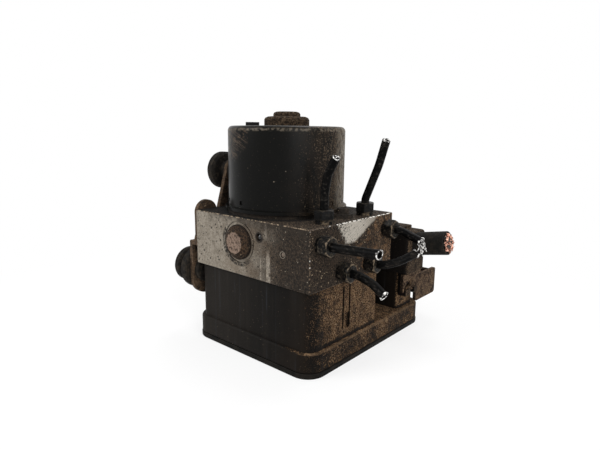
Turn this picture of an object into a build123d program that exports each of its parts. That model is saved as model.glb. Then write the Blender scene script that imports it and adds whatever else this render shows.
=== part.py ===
"""Anti-lock brake module: a valve block with its pump motor on top and its controller below.

Millimetres, +Z up. The origin is on the controller cover's underside, below the motor's axis.
-Y is the face with the front pump plug, +X the face with the four wheel pipes, -X the bracket side
and +Y the end of the controller that carries the harness connector.
"""

import os
from math import atan, cos, degrees, radians, sin

from build123d import *

# ---------------------------------------------------------------- controller (lower half)
cover_thickness = 3.5
cover_edge_radius = 0.8
cover_lip = 0.4
seam_chamfer = 0.6
rim_height = 2.0
rim_width = 1.6
flange_edge_radius = 2.0
flange_height = 13.0
flange_front = 42.7
flange_left = 48.9
flange_right = 58.9
flange_rear = 93.1
flange_corner = 12.4
controller_height = 53.9
shell_wall = 2.5
body_wall = 4.0
body_front = 41.0
body_left = 43.0
body_right = 57.0
body_rear = 41.0
recess_start = 29.3
recess_depth = 12.0
body_corner = 9.0
body_left_corner = 6.0
seal_width = 1.8
seal_depth = 1.5
tongue_centre = -6.0
tongue_width = 6.5
tongue_slit = 1.5
tongue_rise = 6.8
catch_rise = 6.1
catch_height = 10.4
socket_round = 3.0
screw_inset = 7.5
notch_screw_inset = 9.0
notch_screw_back = 6.3
column_wall = 1.3
shoulder_wall = 1.6
seat_roof = 1.5
groove_inset = 0.9
board_thickness = 1.6
board_height = 8.0
chip_inset = 18.9
chip_size = 22.0
chip_height = 2.2
capacitor_radius = 4.5
capacitor_height = 3.9
capacitor_pitch = 13.0
screw_head_radius = 4.2
screw_head_height = 5.0
screw_radius = 2.5
screw_grip = 9.0

# ---------------------------------------------------------------- valve block
block_margin_left = 4.7
block_margin_right = 19.0
block_depth = 86.8
block_height = 37.1
block_edge = 0.5
cavity_radius = 13.0
cavity_floor = 12.1
pump_height = 21.5
outlet_inner_y = 14.4
outlet_inner_height = 7.9
outlet_outer_y = 34.5
outlet_outer_height = 27.4
inlet_inset = 8.0
inlet_y = 21.5
port_depth = 13.0
accumulator_y = 20.0
accumulator_height = 14.1
accumulator_radius = 9.5
accumulator_depth = 24.0
cap_seat = 1.0
cap_thickness = 3.0
cup_length = 8.0
cup_wall = 2.4
cup_floor = 2.5
cup_groove = 2.0
cup_spring_radius = 5.6
cup_spring_turns = 5
cup_wire = 0.8
cap_dimple_radius = 3.0
valve_columns = (10.0, 30.5)
valve_rows = (-27.9, -9.3, 9.3, 27.9)
valve_radius = 5.0
valve_depth = 10.0
dome_radius = 3.8
coil_radius = 8.8
coil_height = 19.0
coil_drop = 4.0
coil_wall = 1.2
coil_cheek = 2.0
coil_leg = 1.0
coil_leg_x = 5.9
valve_flange = 1.2
valve_flange_height = 2.2
dome_proud = 2.0
outlet_dome_shorter = 2.5
contact_x = -22.0
contact_radius = 4.2
contact_tail = 6.0
blade_contact_thickness = 0.8
blade_contact_width = 2.0
blade_contact_y = 2.0
# Steel balls that plug cross drillings in the front and rear faces: x, height above the pump, radius, depth.
cross_drillings = ((17.6, 5.5, 2.2, 2.4), (37.4, -1.9, 1.8, 1.7))

# ---------------------------------------------------------------- pump motor (upper half)
motor_radius = 39.0
motor_height = 56.2
can_wall = 2.5
can_edge = 3.0
plate_thickness = 2.5
plate_margin = 0.5
lip_flare = 2.0
lip_thickness = 2.0
boss_radius = 15.0
boss_height = 6.3
boss_roof = 1.5
cap_radius = 9.0
cap_height = 3.2
hub_radius = 14.0
hub_lip = 1.0
bearing_lip = 1.5
spigot_depth = 2.5
bearing_radius = 11.0
bearing_height = 7.5
top_bearing_radius = 8.0
top_bearing_height = 6.0
shaft_radius = 4.0
shaft_tail = 4.0
eccentric_radius = 5.5
eccentric_throw = 1.0
ring_radius = 9.0
ring_height = 9.4
core_radius = 28.5
core_height = 21.0
winding_below = 3.5
winding_above = 4.5
slot_count = 12
slot_width = 4.0
slot_depth = 13.3
tooth_tip = 2.2
tooth_gap = 1.8
magnet_arc = 136.0
magnet_overhang = 2.0
air_gap = 0.8
commutator_radius = 11.5
commutator_height = 9.0
bar_groove = 0.8
bar_gap = 0.6
brush_size = 6.0
brush_length = 10.0
brush_plate_thickness = 1.8
guide_wall = 1.2
guide_inset = 2.5
brush_spring_radius = 2.0
brush_spring_turns = 4
brush_wire = 0.35
vent_x = -21.5
vent_y = -11.0
vent_turn = 41.0
vent_length = 9.0
vent_width = 5.0
vent_height = 2.7
ear_reach = 7.0
ear_radius = 6.0
ear_angles = (4.0, 128.0)
motor_screw_radius = 2.5
motor_screw_grip = 8.0
motor_screw_head = 3.9
motor_screw_height = 3.6
crimp_width = 3.0
crimp_height = 2.5
crimp_depth = 0.8
crimp_rise = 4.5
crimp_angles = (-121.5, -94.0, 0.0, 58.0, 85.0, 180.0)

# ---------------------------------------------------------------- pump pistons and plugs
piston_radius = 4.0
piston_length = 15.0
piston_stroke = 2.0 * eccentric_throw
collar_radius = 5.6
collar_thickness = 1.5
chamber_radius = 7.0
chamber_clear = 0.6
plug_bore_radius = 9.5
plug_bore_depth = 8.0
plug_flange_radius = 11.1
plug_nose_radius = 6.8
plug_height = 4.6
staking_radius = 12.6
staking_width = 0.7
staking_depth = 0.5
piston_nose_radius = 2.6
piston_nose = 3.0
pump_spring_radius = 4.4
pump_spring_turns = 5
pump_wire = 0.6

# ---------------------------------------------------------------- pipes and tube nuts
pipe_radius = 2.6
pipe_bore_radius = 1.65
nut_across_flats = 11.0
nut_height = 6.5
nut_neck = 1.8
nut_neck_radius = 5.3
nut_thread_radius = 4.9
nut_thread_length = 9.0
flare_depth = 1.0
# Each cut pipe's corners, as steps out of its port's face: along the port, then across it (two ways).
front_inlet_run = ((18.0, 0.0, 0.0), (29.0, 1.9, 0.3), (38.6, 7.2, 1.0))
rear_inlet_run = ((10.2, 0.0, 0.0), (32.5, 9.2, 0.0), (48.3, 13.9, 0.0))
outlet_runs = {
    "upper_front": ((11.5, 0.0, 0.0), (39.0, -0.6, 1.4)),
    "lower_front": ((12.5, 0.0, 0.0), (22.5, -0.6, -2.4), (31.5, -1.6, -7.8)),
    "lower_rear": ((12.0, 0.0, 0.0), (19.5, 6.4, 2.6), (24.9, 17.4, 6.8)),
    "upper_rear": ((11.5, 0.0, 0.0), (26.5, -0.3, -5.0)),
}
pipe_bends = {
    "front_inlet": (30.0, 14.0),
    "rear_inlet": (8.0, 60.0),
    "upper_front": (60.0,),
    "lower_front": (22.0, 20.0),
    "lower_rear": (8.0, 20.0),
    "upper_rear": (18.0,),
}

# ---------------------------------------------------------------- bracket and bushes
bracket_thickness = 3.0
bracket_step = 5.3
bracket_step_height = 66.0
ear_centre_y = -33.8
ear_centre_z = 88.4
ear_top_radius = 8.6
upper_bush_y = -6.0
upper_bush_z = 115.4
upper_eye_radius = 9.8
lower_bush_y = 32.5
lower_bush_z = 47.0
lower_plate_half = 43.2
lower_plate_bottom = 28.8
lower_plate_corner = 11.0
upper_plate_half = 42.3
upper_plate_top = 89.0
arm_spread = 8.0
bracket_bend = 1.6
bush_neck_radius = 6.5
bush_sleeve_radius = 4.5
bush_bore_radius = 3.2
bush_flange = 3.0
upper_back = 2.6
lower_back = 3.6
upper_disc_radius = 13.5
lower_disc_radius = 15.2
lower_end_radius = 12.4
bolt_y = 29.5
bolt_drop = 6.5
bolt_radius = 4.0
bolt_head_radius = 7.5
bolt_across_flats = 13.0
bolt_flange = 1.2
bolt_head_height = 5.0
bolt_grip = 11.0

# ---------------------------------------------------------------- harness connector
socket_right = 55.4
socket_left = 13.6
socket_front = 60.0
socket_rear = 83.0
socket_top = 44.0
socket_wall = 2.0
socket_floor = 24.0
pin_recess = 4.0
pin_width = 1.2
pin_pitch = 2.6
pin_blade_gap = 3.4
pin_row_half = 3.4
first_pin_inset = 9.0
blade_thickness = 1.0
blade_width = 6.0
blade_pitch = 3.6
last_blade_inset = 4.9
pin_y = 70.0
pin_z = 36.6
pin_radius = 2.2
lock_travel = 8.0
lock_slope = 0.5
slot_gap = 0.2
slide_end = 1.6
slide_lap = 6.0
handle_corner = 2.2
plate_gap = 0.35
cheek_thickness = 2.5
slide_thickness = 2.3
handle_start = 78.0
handle_end = 109.4
handle_bottom = 19.2
handle_top = 39.6
slide_bottom = 30.3
slide_top = 43.4
plug_overhang = 7.6
plug_front = 59.0
plug_rear = 85.0
plug_top = 76.0
plug_wall = 2.5
plug_corner = 3.0
plug_step = 2.0
plug_step_length = 12.0
plug_edge_radius = 0.9
plug_shoulder_radius = 2.2
cheek_inset = 1.0
rail_height = 2.3
lip_thin = 1.05
lip_height = 1.8
handle_clear = 1.0
nose_gap = 0.4
nose_clear = 6.0
plug_seal_depth = 1.4
plug_seal_height = 3.0
plug_seal_rise = 5.0
cable_grip = 1.0
cable_radius = 8.3
cable_y = 72.5
cable_z = 64.5
cable_length = 26.5
cable_tilt = 10.0
jacket_wall = 1.4
wire_radius = 1.5
wire_count = 8
wire_proud = 1.4

# ---------------------------------------------------------------- fits
running_gap = 0.03
free_gap = 0.3
board_gap = 0.5
spring_gap = 0.1

# ---------------------------------------------------------------- levels worked out from the above
flange_top = cover_thickness + flange_height
block_left = motor_radius + block_margin_left
block_right = motor_radius + block_margin_right
block_low = controller_height
block_top = block_low + block_height
block_front = -block_depth / 2
block_rear = block_depth / 2
block_centre_x = (block_right - block_left) / 2
pump_z = block_low + pump_height
cavity_low = block_low + cavity_floor
inlet_x = block_right - inlet_inset
outlet_inner_z = block_low + outlet_inner_height
outlet_outer_z = block_low + outlet_outer_height
accumulator_z = block_low + accumulator_height
ball_places = [(x, pump_z + rise, radius, depth) for x, rise, radius, depth in cross_drillings]
plate_top = block_top + plate_thickness
can_top = block_top + motor_height
can_inner = motor_radius - can_wall
plate_radius = motor_radius + plate_margin
lip_radius = motor_radius + lip_flare
ear_centre = motor_radius + ear_reach
bracket_outer = -block_left - bracket_thickness
step_inner = -block_left - bracket_step
step_outer = step_inner - bracket_thickness
bolt_z = block_top - bolt_drop
board_top = board_height + board_thickness

parts = {}


# ---------------------------------------------------------------- small helpers
def block_between(x_range, y_range, z_range):
    """A box given by its two limits along each axis."""
    size = [high - low for low, high in (x_range, y_range, z_range)]
    centre = [(high + low) / 2 for low, high in (x_range, y_range, z_range)]
    return Pos(*centre) * Box(*size)


def rod_x(radius, start, end, y, z):
    """A cylinder along X."""
    return Pos((start + end) / 2, y, z) * Rot(0, 90, 0) * Cylinder(radius, abs(end - start))


def rod_y(radius, start, end, x, z):
    """A cylinder along Y."""
    return Pos(x, (start + end) / 2, z) * Rot(90, 0, 0) * Cylinder(radius, abs(end - start))


def rod_z(radius, start, end, x=0.0, y=0.0):
    """A cylinder along Z."""
    return Pos(x, y, (start + end) / 2) * Cylinder(radius, abs(end - start))


def turned(points):
    """A solid of revolution about Z from a closed outline of (radius, height) points."""
    outline = Plane.XZ * make_face(Polyline(*points, close=True))
    return revolve(outline, Axis.Z)


def rounded_slab(x_range, y_range, z_range, corner):
    """A slab whose four upright edges are rounded."""
    width = x_range[1] - x_range[0]
    depth = y_range[1] - y_range[0]
    outline = Pos(sum(x_range) / 2, sum(y_range) / 2, z_range[0]) * RectangleRounded(width, depth, corner)
    return extrude(outline, amount=z_range[1] - z_range[0])


def coil_spring(radius, wire, length, turns, chords=12):
    """A compression spring on z = 0, six-sided wire in short chords, ends not ground."""
    rise = (length - 2 * wire) / turns / chords
    points = []
    for i in range(turns * chords + 1):
        angle = radians(360 * i / chords)
        points.append((radius * cos(angle), radius * sin(angle), wire + rise * i))
    path = Polyline(*points)
    profile = Plane(origin=path @ 0, z_dir=path % 0) * RegularPolygon(wire, 6)
    return sweep(profile, path=path, transition=Transition.RIGHT)


def group(shapes):
    """Several separate solids kept in one node."""
    return Compound(children=[solid for shape in shapes for solid in shape.solids()])


def mirrored(shape, plane_x):
    """The shape and its mirror image across the plane x = plane_x."""
    return [shape, mirror(shape, about=Plane(origin=(plane_x, 0, 0), z_dir=(1, 0, 0)))]


# ---------------------------------------------------------------- controller
screw_points = (
    (-body_left + screw_inset, -body_front + screw_inset),
    (body_right - screw_inset, -body_front + screw_inset),
    (-body_left + screw_inset, body_rear - screw_inset),
    (body_right - notch_screw_inset, recess_start - notch_screw_back),
)
column_radius = screw_head_radius + column_wall
shoulder_radius = column_radius + shoulder_wall
head_seat = board_top + screw_head_height
coil_low = block_low - coil_height - coil_drop
dome_low = coil_low - dome_proud
socket_centre = (socket_left + socket_right) / 2
socket_middle = (socket_front + socket_rear) / 2
pin_tip = socket_top - pin_recess
first_pin = socket_left + first_pin_inset
last_blade = socket_right - last_blade_inset
pin_columns = 1 + int((last_blade - blade_pitch - pin_blade_gap - first_pin) / pin_pitch)


def body_outline(inset):
    """The controller body's plan, with a notch at its right rear, moved in by inset."""
    left, right = -body_left + inset, body_right - inset
    front, rear = -body_front + inset, body_rear - inset
    step_x, step_y = body_right - recess_depth - inset, recess_start - inset
    corners = ((left, front), (right, front), (right, step_y), (step_x, step_y), (step_x, rear), (left, rear))
    face = make_face(Polyline(*corners, close=True))
    notch = [v for v in face.vertices() if v.Y > 0 and v.X > 0]
    face = fillet(notch, 2.5)
    face = fillet([v for v in face.vertices() if v.X < 0], body_left_corner - inset)
    return fillet([v for v in face.vertices() if v.Y < 0 and v.X > 0], body_corner - inset)


def make_seal():
    """The seal round the controller's rim, which fills its groove under the block."""
    outer = body_outline(groove_inset)
    inner = body_outline(groove_inset + seal_width)
    return extrude(Pos(0, 0, block_low - seal_depth) * (outer - inner), amount=seal_depth)


def cam_pins():
    """The two round pins on the socket's sides that the connector's slide works on."""
    reach = plate_gap + cheek_thickness + plate_gap + slide_thickness
    pin = rod_x(pin_radius, socket_right - socket_wall, socket_right + reach, pin_y, pin_z)
    return mirrored(pin, socket_centre)


def contact_pins(radius_gap=0.0):
    """Signal pins in two rows and two wide power blades, standing in the socket's floor."""
    pins = []
    half = pin_width / 2 + radius_gap
    for row in (-1, 1):
        y = socket_middle + row * pin_row_half
        for column in range(pin_columns):
            x = first_pin + pin_pitch * column
            span = ((x - half, x + half), (y - half, y + half))
            pins.append(block_between(*span, (board_top, pin_tip)))
    thick, wide = blade_thickness / 2 + radius_gap, blade_width / 2 + radius_gap
    for column in range(2):
        x = last_blade - blade_pitch * column
        span = ((x - thick, x + thick), (socket_middle - wide, socket_middle + wide))
        pins.append(block_between(*span, (board_top, pin_tip)))
    return pins


def make_housing():
    """The moulded controller case: flange, hollow body with screw columns, and connector socket."""
    flange_x, flange_y = (-flange_left, flange_right), (-flange_front, flange_rear)
    flange = rounded_slab(flange_x, flange_y, (cover_thickness, flange_top), flange_corner)
    flange = fillet(flange.faces().sort_by(Axis.Z)[-1].edges(), flange_edge_radius)
    flange = chamfer(flange.faces().sort_by(Axis.Z)[0].edges(), seam_chamfer)
    plan = Pos(0, 0, cover_thickness) * body_outline(0)
    body = extrude(plan, amount=block_low - cover_thickness)
    socket_x, socket_y = (socket_left, socket_right), (socket_front, socket_rear)
    socket = rounded_slab(socket_x, socket_y, (flange_top - shell_wall, socket_top), socket_round)
    shell = flange + body + socket
    inner_x = (-flange_left + shell_wall, flange_right - shell_wall)
    inner_y = (-flange_front + shell_wall, flange_rear - shell_wall)
    inner_z = (cover_thickness, flange_top - shell_wall)
    shell -= rounded_slab(inner_x, inner_y, inner_z, flange_corner - shell_wall)
    hollow = body_outline(body_wall)
    shell -= extrude(Pos(0, 0, cover_thickness) * hollow, amount=block_low)
    mouth_x = (socket_left + socket_wall, socket_right - socket_wall)
    mouth_y = (socket_front + socket_wall, socket_rear - socket_wall)
    shell -= rounded_slab(mouth_x, mouth_y, (socket_floor, socket_top), socket_round - socket_wall)
    for x, y in screw_points:
        shell += rod_z(column_radius, cover_thickness, block_low, x, y)
        shell += rod_z(shoulder_radius, board_top, head_seat + seat_roof, x, y)
    for x, y in screw_points:
        shell -= rod_z(screw_head_radius + free_gap, cover_thickness, head_seat, x, y)
        shell -= rod_z(screw_radius + free_gap, head_seat, block_low, x, y)
    shell -= make_seal()
    for side in (-1, 1):
        y = tongue_centre + side * tongue_width / 2
        slit_y = (y - tongue_slit / 2, y + tongue_slit / 2)
        slit_z = (flange_top + tongue_rise, block_low - seal_depth - tongue_slit)
        shell -= block_between((body_right - body_wall / 3, body_right), slit_y, slit_z)
    window_y = (tongue_centre - tongue_width / 6, tongue_centre + tongue_width / 2 + tongue_slit / 4)
    window_z = (flange_top + catch_rise, flange_top + catch_rise + catch_height)
    shell -= block_between((body_right - body_wall / 2, body_right), window_y, window_z)
    for pin in cam_pins():
        shell += pin
    for pin in contact_pins():
        shell -= pin
    return shell


def make_cover():
    """The flat cover under the controller, with a rim that locates inside the flange."""
    plan_x, plan_y = (-flange_left, flange_right), (-flange_front, flange_rear)
    lid_x = (plan_x[0] - cover_lip, plan_x[1] + cover_lip)
    lid_y = (plan_y[0] - cover_lip, plan_y[1] + cover_lip)
    cover = rounded_slab(lid_x, lid_y, (0, cover_thickness), flange_corner + cover_lip)
    cover = fillet(cover.faces().sort_by(Axis.Z)[0].edges(), cover_edge_radius)
    cover = chamfer(cover.faces().sort_by(Axis.Z)[-1].edges(), cover_lip)
    inset = shell_wall + free_gap
    rim_x, rim_y = (plan_x[0] + inset, plan_x[1] - inset), (plan_y[0] + inset, plan_y[1] - inset)
    rim_top = cover_thickness + rim_height
    cover += rounded_slab(rim_x, rim_y, (0.5 * cover_thickness, rim_top), flange_corner - inset)
    wide = inset + rim_width
    hole_x, hole_y = (plan_x[0] + wide, plan_x[1] - wide), (plan_y[0] + wide, plan_y[1] - wide)
    cover -= rounded_slab(hole_x, hole_y, (cover_thickness, rim_top), flange_corner - wide)
    for x, y in screw_points:
        cover -= rod_z(screw_head_radius + free_gap, 0, cover_thickness, x, y)
        cover -= rod_z(column_radius + free_gap, cover_thickness, rim_top, x, y)
    return cover


def make_board():
    """The circuit board, with clearance holes for the four screw columns."""
    inset = shell_wall + board_gap
    board_x = (-flange_left + inset, flange_right - inset)
    board_y = (-flange_front + inset, flange_rear - inset)
    board = rounded_slab(board_x, board_y, (board_height, board_top), flange_corner - inset)
    for x, y in screw_points:
        board -= rod_z(column_radius + free_gap, board_height, board_top, x, y)
    return board


def valve_places():
    """The (x, y) of the eight solenoid valves."""
    return [(x, y) for x in valve_columns for y in valve_rows]


def make_coils():
    """Eight wound coils round the valve domes, each with two legs down to the board."""
    coil_top = coil_low + coil_height
    bobbin = rod_z(coil_radius - coil_wall, coil_low, coil_top)
    bobbin += rod_z(coil_radius, coil_low, coil_low + coil_cheek)
    bobbin += rod_z(coil_radius, coil_top - coil_cheek, coil_top)
    bobbin -= rod_z(dome_radius + free_gap, coil_low, coil_top)
    half = coil_leg / 2
    for leg_x in (-coil_leg_x, coil_leg_x):
        bobbin += block_between((leg_x - half, leg_x + half), (-half, half), (board_top, coil_low + 1))
    return group([Pos(x, y, 0) * bobbin for x, y in valve_places()])


def make_valve(dome_end):
    """A sealed solenoid valve: a turned stem staked into the block and a dome below it."""
    flange_low = block_low - valve_flange_height
    tip = block_low + valve_depth - board_gap
    return turned(
        (
            (0, dome_end),
            (dome_radius - 1, dome_end),
            (dome_radius, dome_end + 1),
            (dome_radius, flange_low),
            (valve_radius + valve_flange, flange_low),
            (valve_radius + valve_flange, block_low),
            (valve_radius, block_low),
            (valve_radius, tip - 2.5),
            (valve_radius - 1.5, tip - 1.5),
            (valve_radius - 1.5, tip),
            (0, tip),
        )
    )


def make_screw(length_up):
    """A socket-head screw that holds the controller to the block."""
    head_low = head_seat - screw_head_height
    screw = rod_z(screw_head_radius, head_low, head_seat) + rod_z(screw_radius, head_seat, length_up)
    hexagon = Pos(0, 0, head_low) * RegularPolygon(0.55 * screw_head_radius, 6)
    return screw - extrude(hexagon, amount=screw_head_height / 2)


parts["ecu_housing"] = make_housing()
parts["ecu_cover"] = make_cover()
parts["circuit_board"] = make_board()
parts["ecu_seal"] = make_seal()
parts["solenoid_coils"] = make_coils()
inlet_row = [place for place in valve_places() if place[0] == valve_columns[1]]
outlet_row = [place for place in valve_places() if place[0] == valve_columns[0]]
parts["inlet_valves"] = group([Pos(x, y, 0) * make_valve(dome_low) for x, y in inlet_row])
outlet_valve = make_valve(dome_low + outlet_dome_shorter)
parts["outlet_valves"] = group([Pos(x, y, 0) * outlet_valve for x, y in outlet_row])
controller_screw = make_screw(block_low + screw_grip - board_gap)
parts["ecu_screws"] = group([Pos(x, y, 0) * controller_screw for x, y in screw_points])
parts["connector_pins"] = group(contact_pins())
chip_x = (-flange_left + chip_inset, -flange_left + chip_inset + chip_size)
chip_y = (flange_rear - chip_inset - chip_size, flange_rear - chip_inset)
parts["control_chip"] = block_between(chip_x, chip_y, (board_top, board_top + chip_height))
capacitor = rod_z(capacitor_radius, board_top, board_top + capacitor_height)
capacitor = chamfer(capacitor.edges().sort_by(Axis.Z)[-1], 0.6)
capacitor_row = [chip_x[0] + capacitor_pitch * i for i in range(3)]
capacitor_y = chip_y[0] - capacitor_radius - 3.0
parts["filter_capacitors"] = group([Pos(x, capacitor_y, 0) * capacitor for x in capacitor_row])


# ---------------------------------------------------------------- valve block
outlet_ports = (
    ("upper_front", -outlet_outer_y, outlet_outer_z),
    ("lower_front", -outlet_inner_y, outlet_inner_z),
    ("lower_rear", outlet_inner_y, outlet_inner_z),
    ("upper_rear", outlet_outer_y, outlet_outer_z),
)
plug_floor = block_depth / 2 - plug_bore_depth
piston_tip = ring_radius + eccentric_throw + free_gap
chamber_start = piston_tip + piston_length - chamber_clear
cap_seat_radius = accumulator_radius + cap_seat
port_radius = nut_thread_radius + spring_gap
ear_places = [(ear_centre * cos(radians(a)), ear_centre * sin(radians(a))) for a in ear_angles]


def make_block():
    """The cast block, bored for the pump, valves, accumulators, pipes, screws and motor contact."""
    block = block_between((-block_left, block_right), (block_front, block_rear), (block_low, block_top))
    block = chamfer(block.edges(), block_edge)
    block -= rod_z(cavity_radius, cavity_low, block_top)
    block -= rod_z(contact_radius + spring_gap, block_low, block_top, contact_x)
    for side in (-1, 1):
        block -= rod_y(piston_radius + running_gap, 0, side * chamber_start, 0, pump_z)
        block -= rod_y(chamber_radius, side * chamber_start, side * plug_floor, 0, pump_z)
        block -= rod_y(plug_bore_radius, side * plug_floor, side * block_depth / 2, 0, pump_z)
        face = side * block_depth / 2
        ring_end = face - side * staking_depth
        ring = rod_y(staking_radius + staking_width, face, ring_end, 0, pump_z)
        block -= ring - rod_y(staking_radius, face, ring_end, 0, pump_z)
        for x, z, radius, depth in ball_places:
            block -= rod_y(radius, face, face - side * (depth + radius), x, z)
        bore_end = -block_left + accumulator_depth
        seat_end = -block_left + cap_thickness
        block -= rod_x(accumulator_radius, -block_left, bore_end, side * accumulator_y, accumulator_z)
        block -= rod_x(cap_seat_radius, -block_left, seat_end, side * accumulator_y, accumulator_z)
        block -= rod_z(port_radius, block_top - port_depth, block_top, inlet_x, side * inlet_y)
        block -= rod_x(bolt_radius, -block_left, -block_left + bolt_grip, side * bolt_y, bolt_z)
    for _, y, z in outlet_ports:
        block -= rod_x(port_radius, block_right - port_depth, block_right, y, z)
    for x, y in valve_places():
        block -= rod_z(valve_radius, block_low, block_low + valve_depth, x, y)
    for x, y in screw_points:
        block -= rod_z(screw_radius, block_low, block_low + screw_grip, x, y)
    for x, y in ear_places:
        block -= rod_z(motor_screw_radius, block_top - motor_screw_grip, block_top, x, y)
    return block


parts["valve_block"] = make_block()


def make_pump_plug():
    """A pressed steel plug that closes a pump bore, its tapered nose standing proud."""
    return turned(
        (
            (0, -plug_bore_depth),
            (plug_bore_radius - 1, -plug_bore_depth),
            (plug_bore_radius, -plug_bore_depth + 1),
            (plug_bore_radius, 0),
            (plug_flange_radius, 0),
            (plug_flange_radius, 1.3),
            (plug_flange_radius - 0.9, 2.3),
            (plug_nose_radius + 0.9, plug_height - 0.7),
            (plug_nose_radius, plug_height),
            (0, plug_height),
        )
    )


spring_seat = piston_tip + piston_length + collar_thickness
pump_spring_length = plug_floor - spring_seat


def make_piston():
    """A hardened pump piston with the collar its return spring sits on."""
    collar = piston_tip + piston_length
    return turned(
        (
            (0, piston_tip),
            (piston_radius - 0.8, piston_tip),
            (piston_radius, piston_tip + 0.8),
            (piston_radius, collar),
            (collar_radius, collar),
            (collar_radius, spring_seat),
            (piston_nose_radius, spring_seat),
            (piston_nose_radius, spring_seat + piston_nose),
            (0, spring_seat + piston_nose),
        )
    )


plug = make_pump_plug()
piston = make_piston()
spring = coil_spring(pump_spring_radius, pump_wire, pump_spring_length, pump_spring_turns)
spring = Pos(0, 0, spring_seat) * spring
plug_places = (Pos(0, block_front, pump_z) * Rot(90, 0, 0), Pos(0, block_rear, pump_z) * Rot(-90, 0, 0))
parts["pump_plugs"] = group([place * plug for place in plug_places])
parts["pump_piston_front"] = Pos(0, 0, pump_z) * Rot(90, 0, 0) * piston
parts["pump_piston_rear"] = Pos(0, 0, pump_z) * Rot(-90, 0, 0) * piston
parts["pump_spring_front"] = Pos(0, 0, pump_z) * Rot(90, 0, 0) * spring
parts["pump_spring_rear"] = Pos(0, 0, pump_z) * Rot(-90, 0, 0) * spring
balls = []
for side in (-1, 1):
    for x, z, radius, depth in ball_places:
        balls.append(Pos(x, side * (block_depth / 2 - depth), z) * Sphere(radius))
parts["ball_plugs"] = group(balls)

# ---------------------------------------------------------------- low-pressure accumulators
cup_bottom = board_gap + cup_floor


def make_accumulator_piston():
    """A cup piston with a groove for its ring, open towards its spring and cap."""
    radius = accumulator_radius - running_gap
    low, high = board_gap, board_gap + cup_length
    ring_low = low + cup_floor
    ring_high = ring_low + cup_groove
    return turned(
        (
            (0, low),
            (radius - 0.6, low),
            (radius, low + 0.6),
            (radius, ring_low),
            (radius - cup_wall / 2, ring_low),
            (radius - cup_wall / 2, ring_high),
            (radius, ring_high),
            (radius, high),
            (radius - cup_wall, high),
            (radius - cup_wall, cup_bottom),
            (0, cup_bottom),
        )
    )


accumulator_spring_length = accumulator_depth - cap_thickness - cup_bottom
cup_spring = coil_spring(cup_spring_radius, cup_wire, accumulator_spring_length, cup_spring_turns)
cup_spring = Pos(0, 0, cup_bottom) * cup_spring
cap = rod_z(cap_seat_radius, accumulator_depth - cap_thickness, accumulator_depth)
cap -= rod_z(cap_dimple_radius, accumulator_depth - cap_thickness / 3, accumulator_depth)
caps = []
for name, side in (("front", -1), ("rear", 1)):
    inner_end = Pos(-block_left + accumulator_depth, side * accumulator_y, accumulator_z) * Rot(0, -90, 0)
    parts["accumulator_piston_" + name] = inner_end * make_accumulator_piston()
    parts["accumulator_spring_" + name] = inner_end * cup_spring
    caps.append(inner_end * cap)
parts["accumulator_caps"] = group(caps)

# ---------------------------------------------------------------- motor
can_low = plate_top
hub_top = block_top + bearing_height + hub_lip
brush_plate_z = hub_top
commutator_low = brush_plate_z + brush_plate_thickness + board_gap
core_low = commutator_low + commutator_height + winding_below + board_gap
core_top = core_low + core_height
ceiling = can_top - can_wall
winding_low = core_low - winding_below
winding_top = core_top + winding_above
pocket_top = can_top + boss_height - boss_roof


def make_can():
    """A deep-drawn steel can with a bottom lip and a two-step bearing boss on its crown."""
    edge = can_edge
    crown = can_top
    step = can_low + lip_thickness
    boss_top = crown + boss_height
    cap_top = boss_top + cap_height
    wall, shoulder = motor_radius, crown - edge
    foot = ((0, can_low), (lip_radius, can_low), (lip_radius, step), (wall, step))
    outline = Polyline(*foot, (wall, shoulder))
    outline += RadiusArc((wall, shoulder), (wall - edge, crown), -edge)
    outline += Polyline(
        (motor_radius - edge, crown),
        (boss_radius, crown),
        (boss_radius, boss_top - 2.0),
        (boss_radius - 0.8, boss_top - 0.7),
        (boss_radius - 2.4, boss_top),
        (cap_radius, boss_top),
        (cap_radius, cap_top - 1.6),
        (cap_radius - 0.7, cap_top - 0.5),
        (cap_radius - 2.0, cap_top),
        (0, cap_top),
        (0, can_low),
    )
    can = revolve(Plane.XZ * make_face(outline), Axis.Z)
    can -= rod_z(can_inner, can_low, ceiling)
    can -= rod_z(top_bearing_radius, ceiling, pocket_top)
    half = crimp_width / 2
    notch_z = (can_low + crimp_rise, can_low + crimp_rise + crimp_height)
    notch = block_between((motor_radius - crimp_depth, motor_radius + 1), (-half, half), notch_z)
    for angle in crimp_angles:
        can -= Rot(0, 0, angle) * notch
    return can


def make_end_plate():
    """The motor's pressed end plate: a disc with two screw ears, a bearing hub and a spigot."""
    plate = rod_z(plate_radius, block_top, plate_top)
    for angle in ear_angles:
        ear = rod_z(ear_radius, block_top, plate_top, ear_centre)
        ear_x = (plate_radius - ear_radius, ear_centre)
        ear += block_between(ear_x, (-ear_radius, ear_radius), (block_top, plate_top))
        plate += Rot(0, 0, angle) * ear
    plate += rod_z(hub_radius, plate_top, hub_top)
    plate += rod_z(cavity_radius - running_gap, block_top - spigot_depth, block_top)
    plate -= rod_z(bearing_radius, block_top, hub_top - hub_lip)
    plate -= rod_z(shaft_radius + bearing_lip, hub_top - hub_lip, hub_top)
    plate -= rod_z(bearing_radius - bearing_lip, block_top - spigot_depth, block_top)
    plate -= rod_z(contact_radius + spring_gap, block_top, plate_top, contact_x)
    for x, y in ear_places:
        plate -= rod_z(motor_screw_radius + free_gap, block_top, plate_top, x, y)
    return plate


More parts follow.
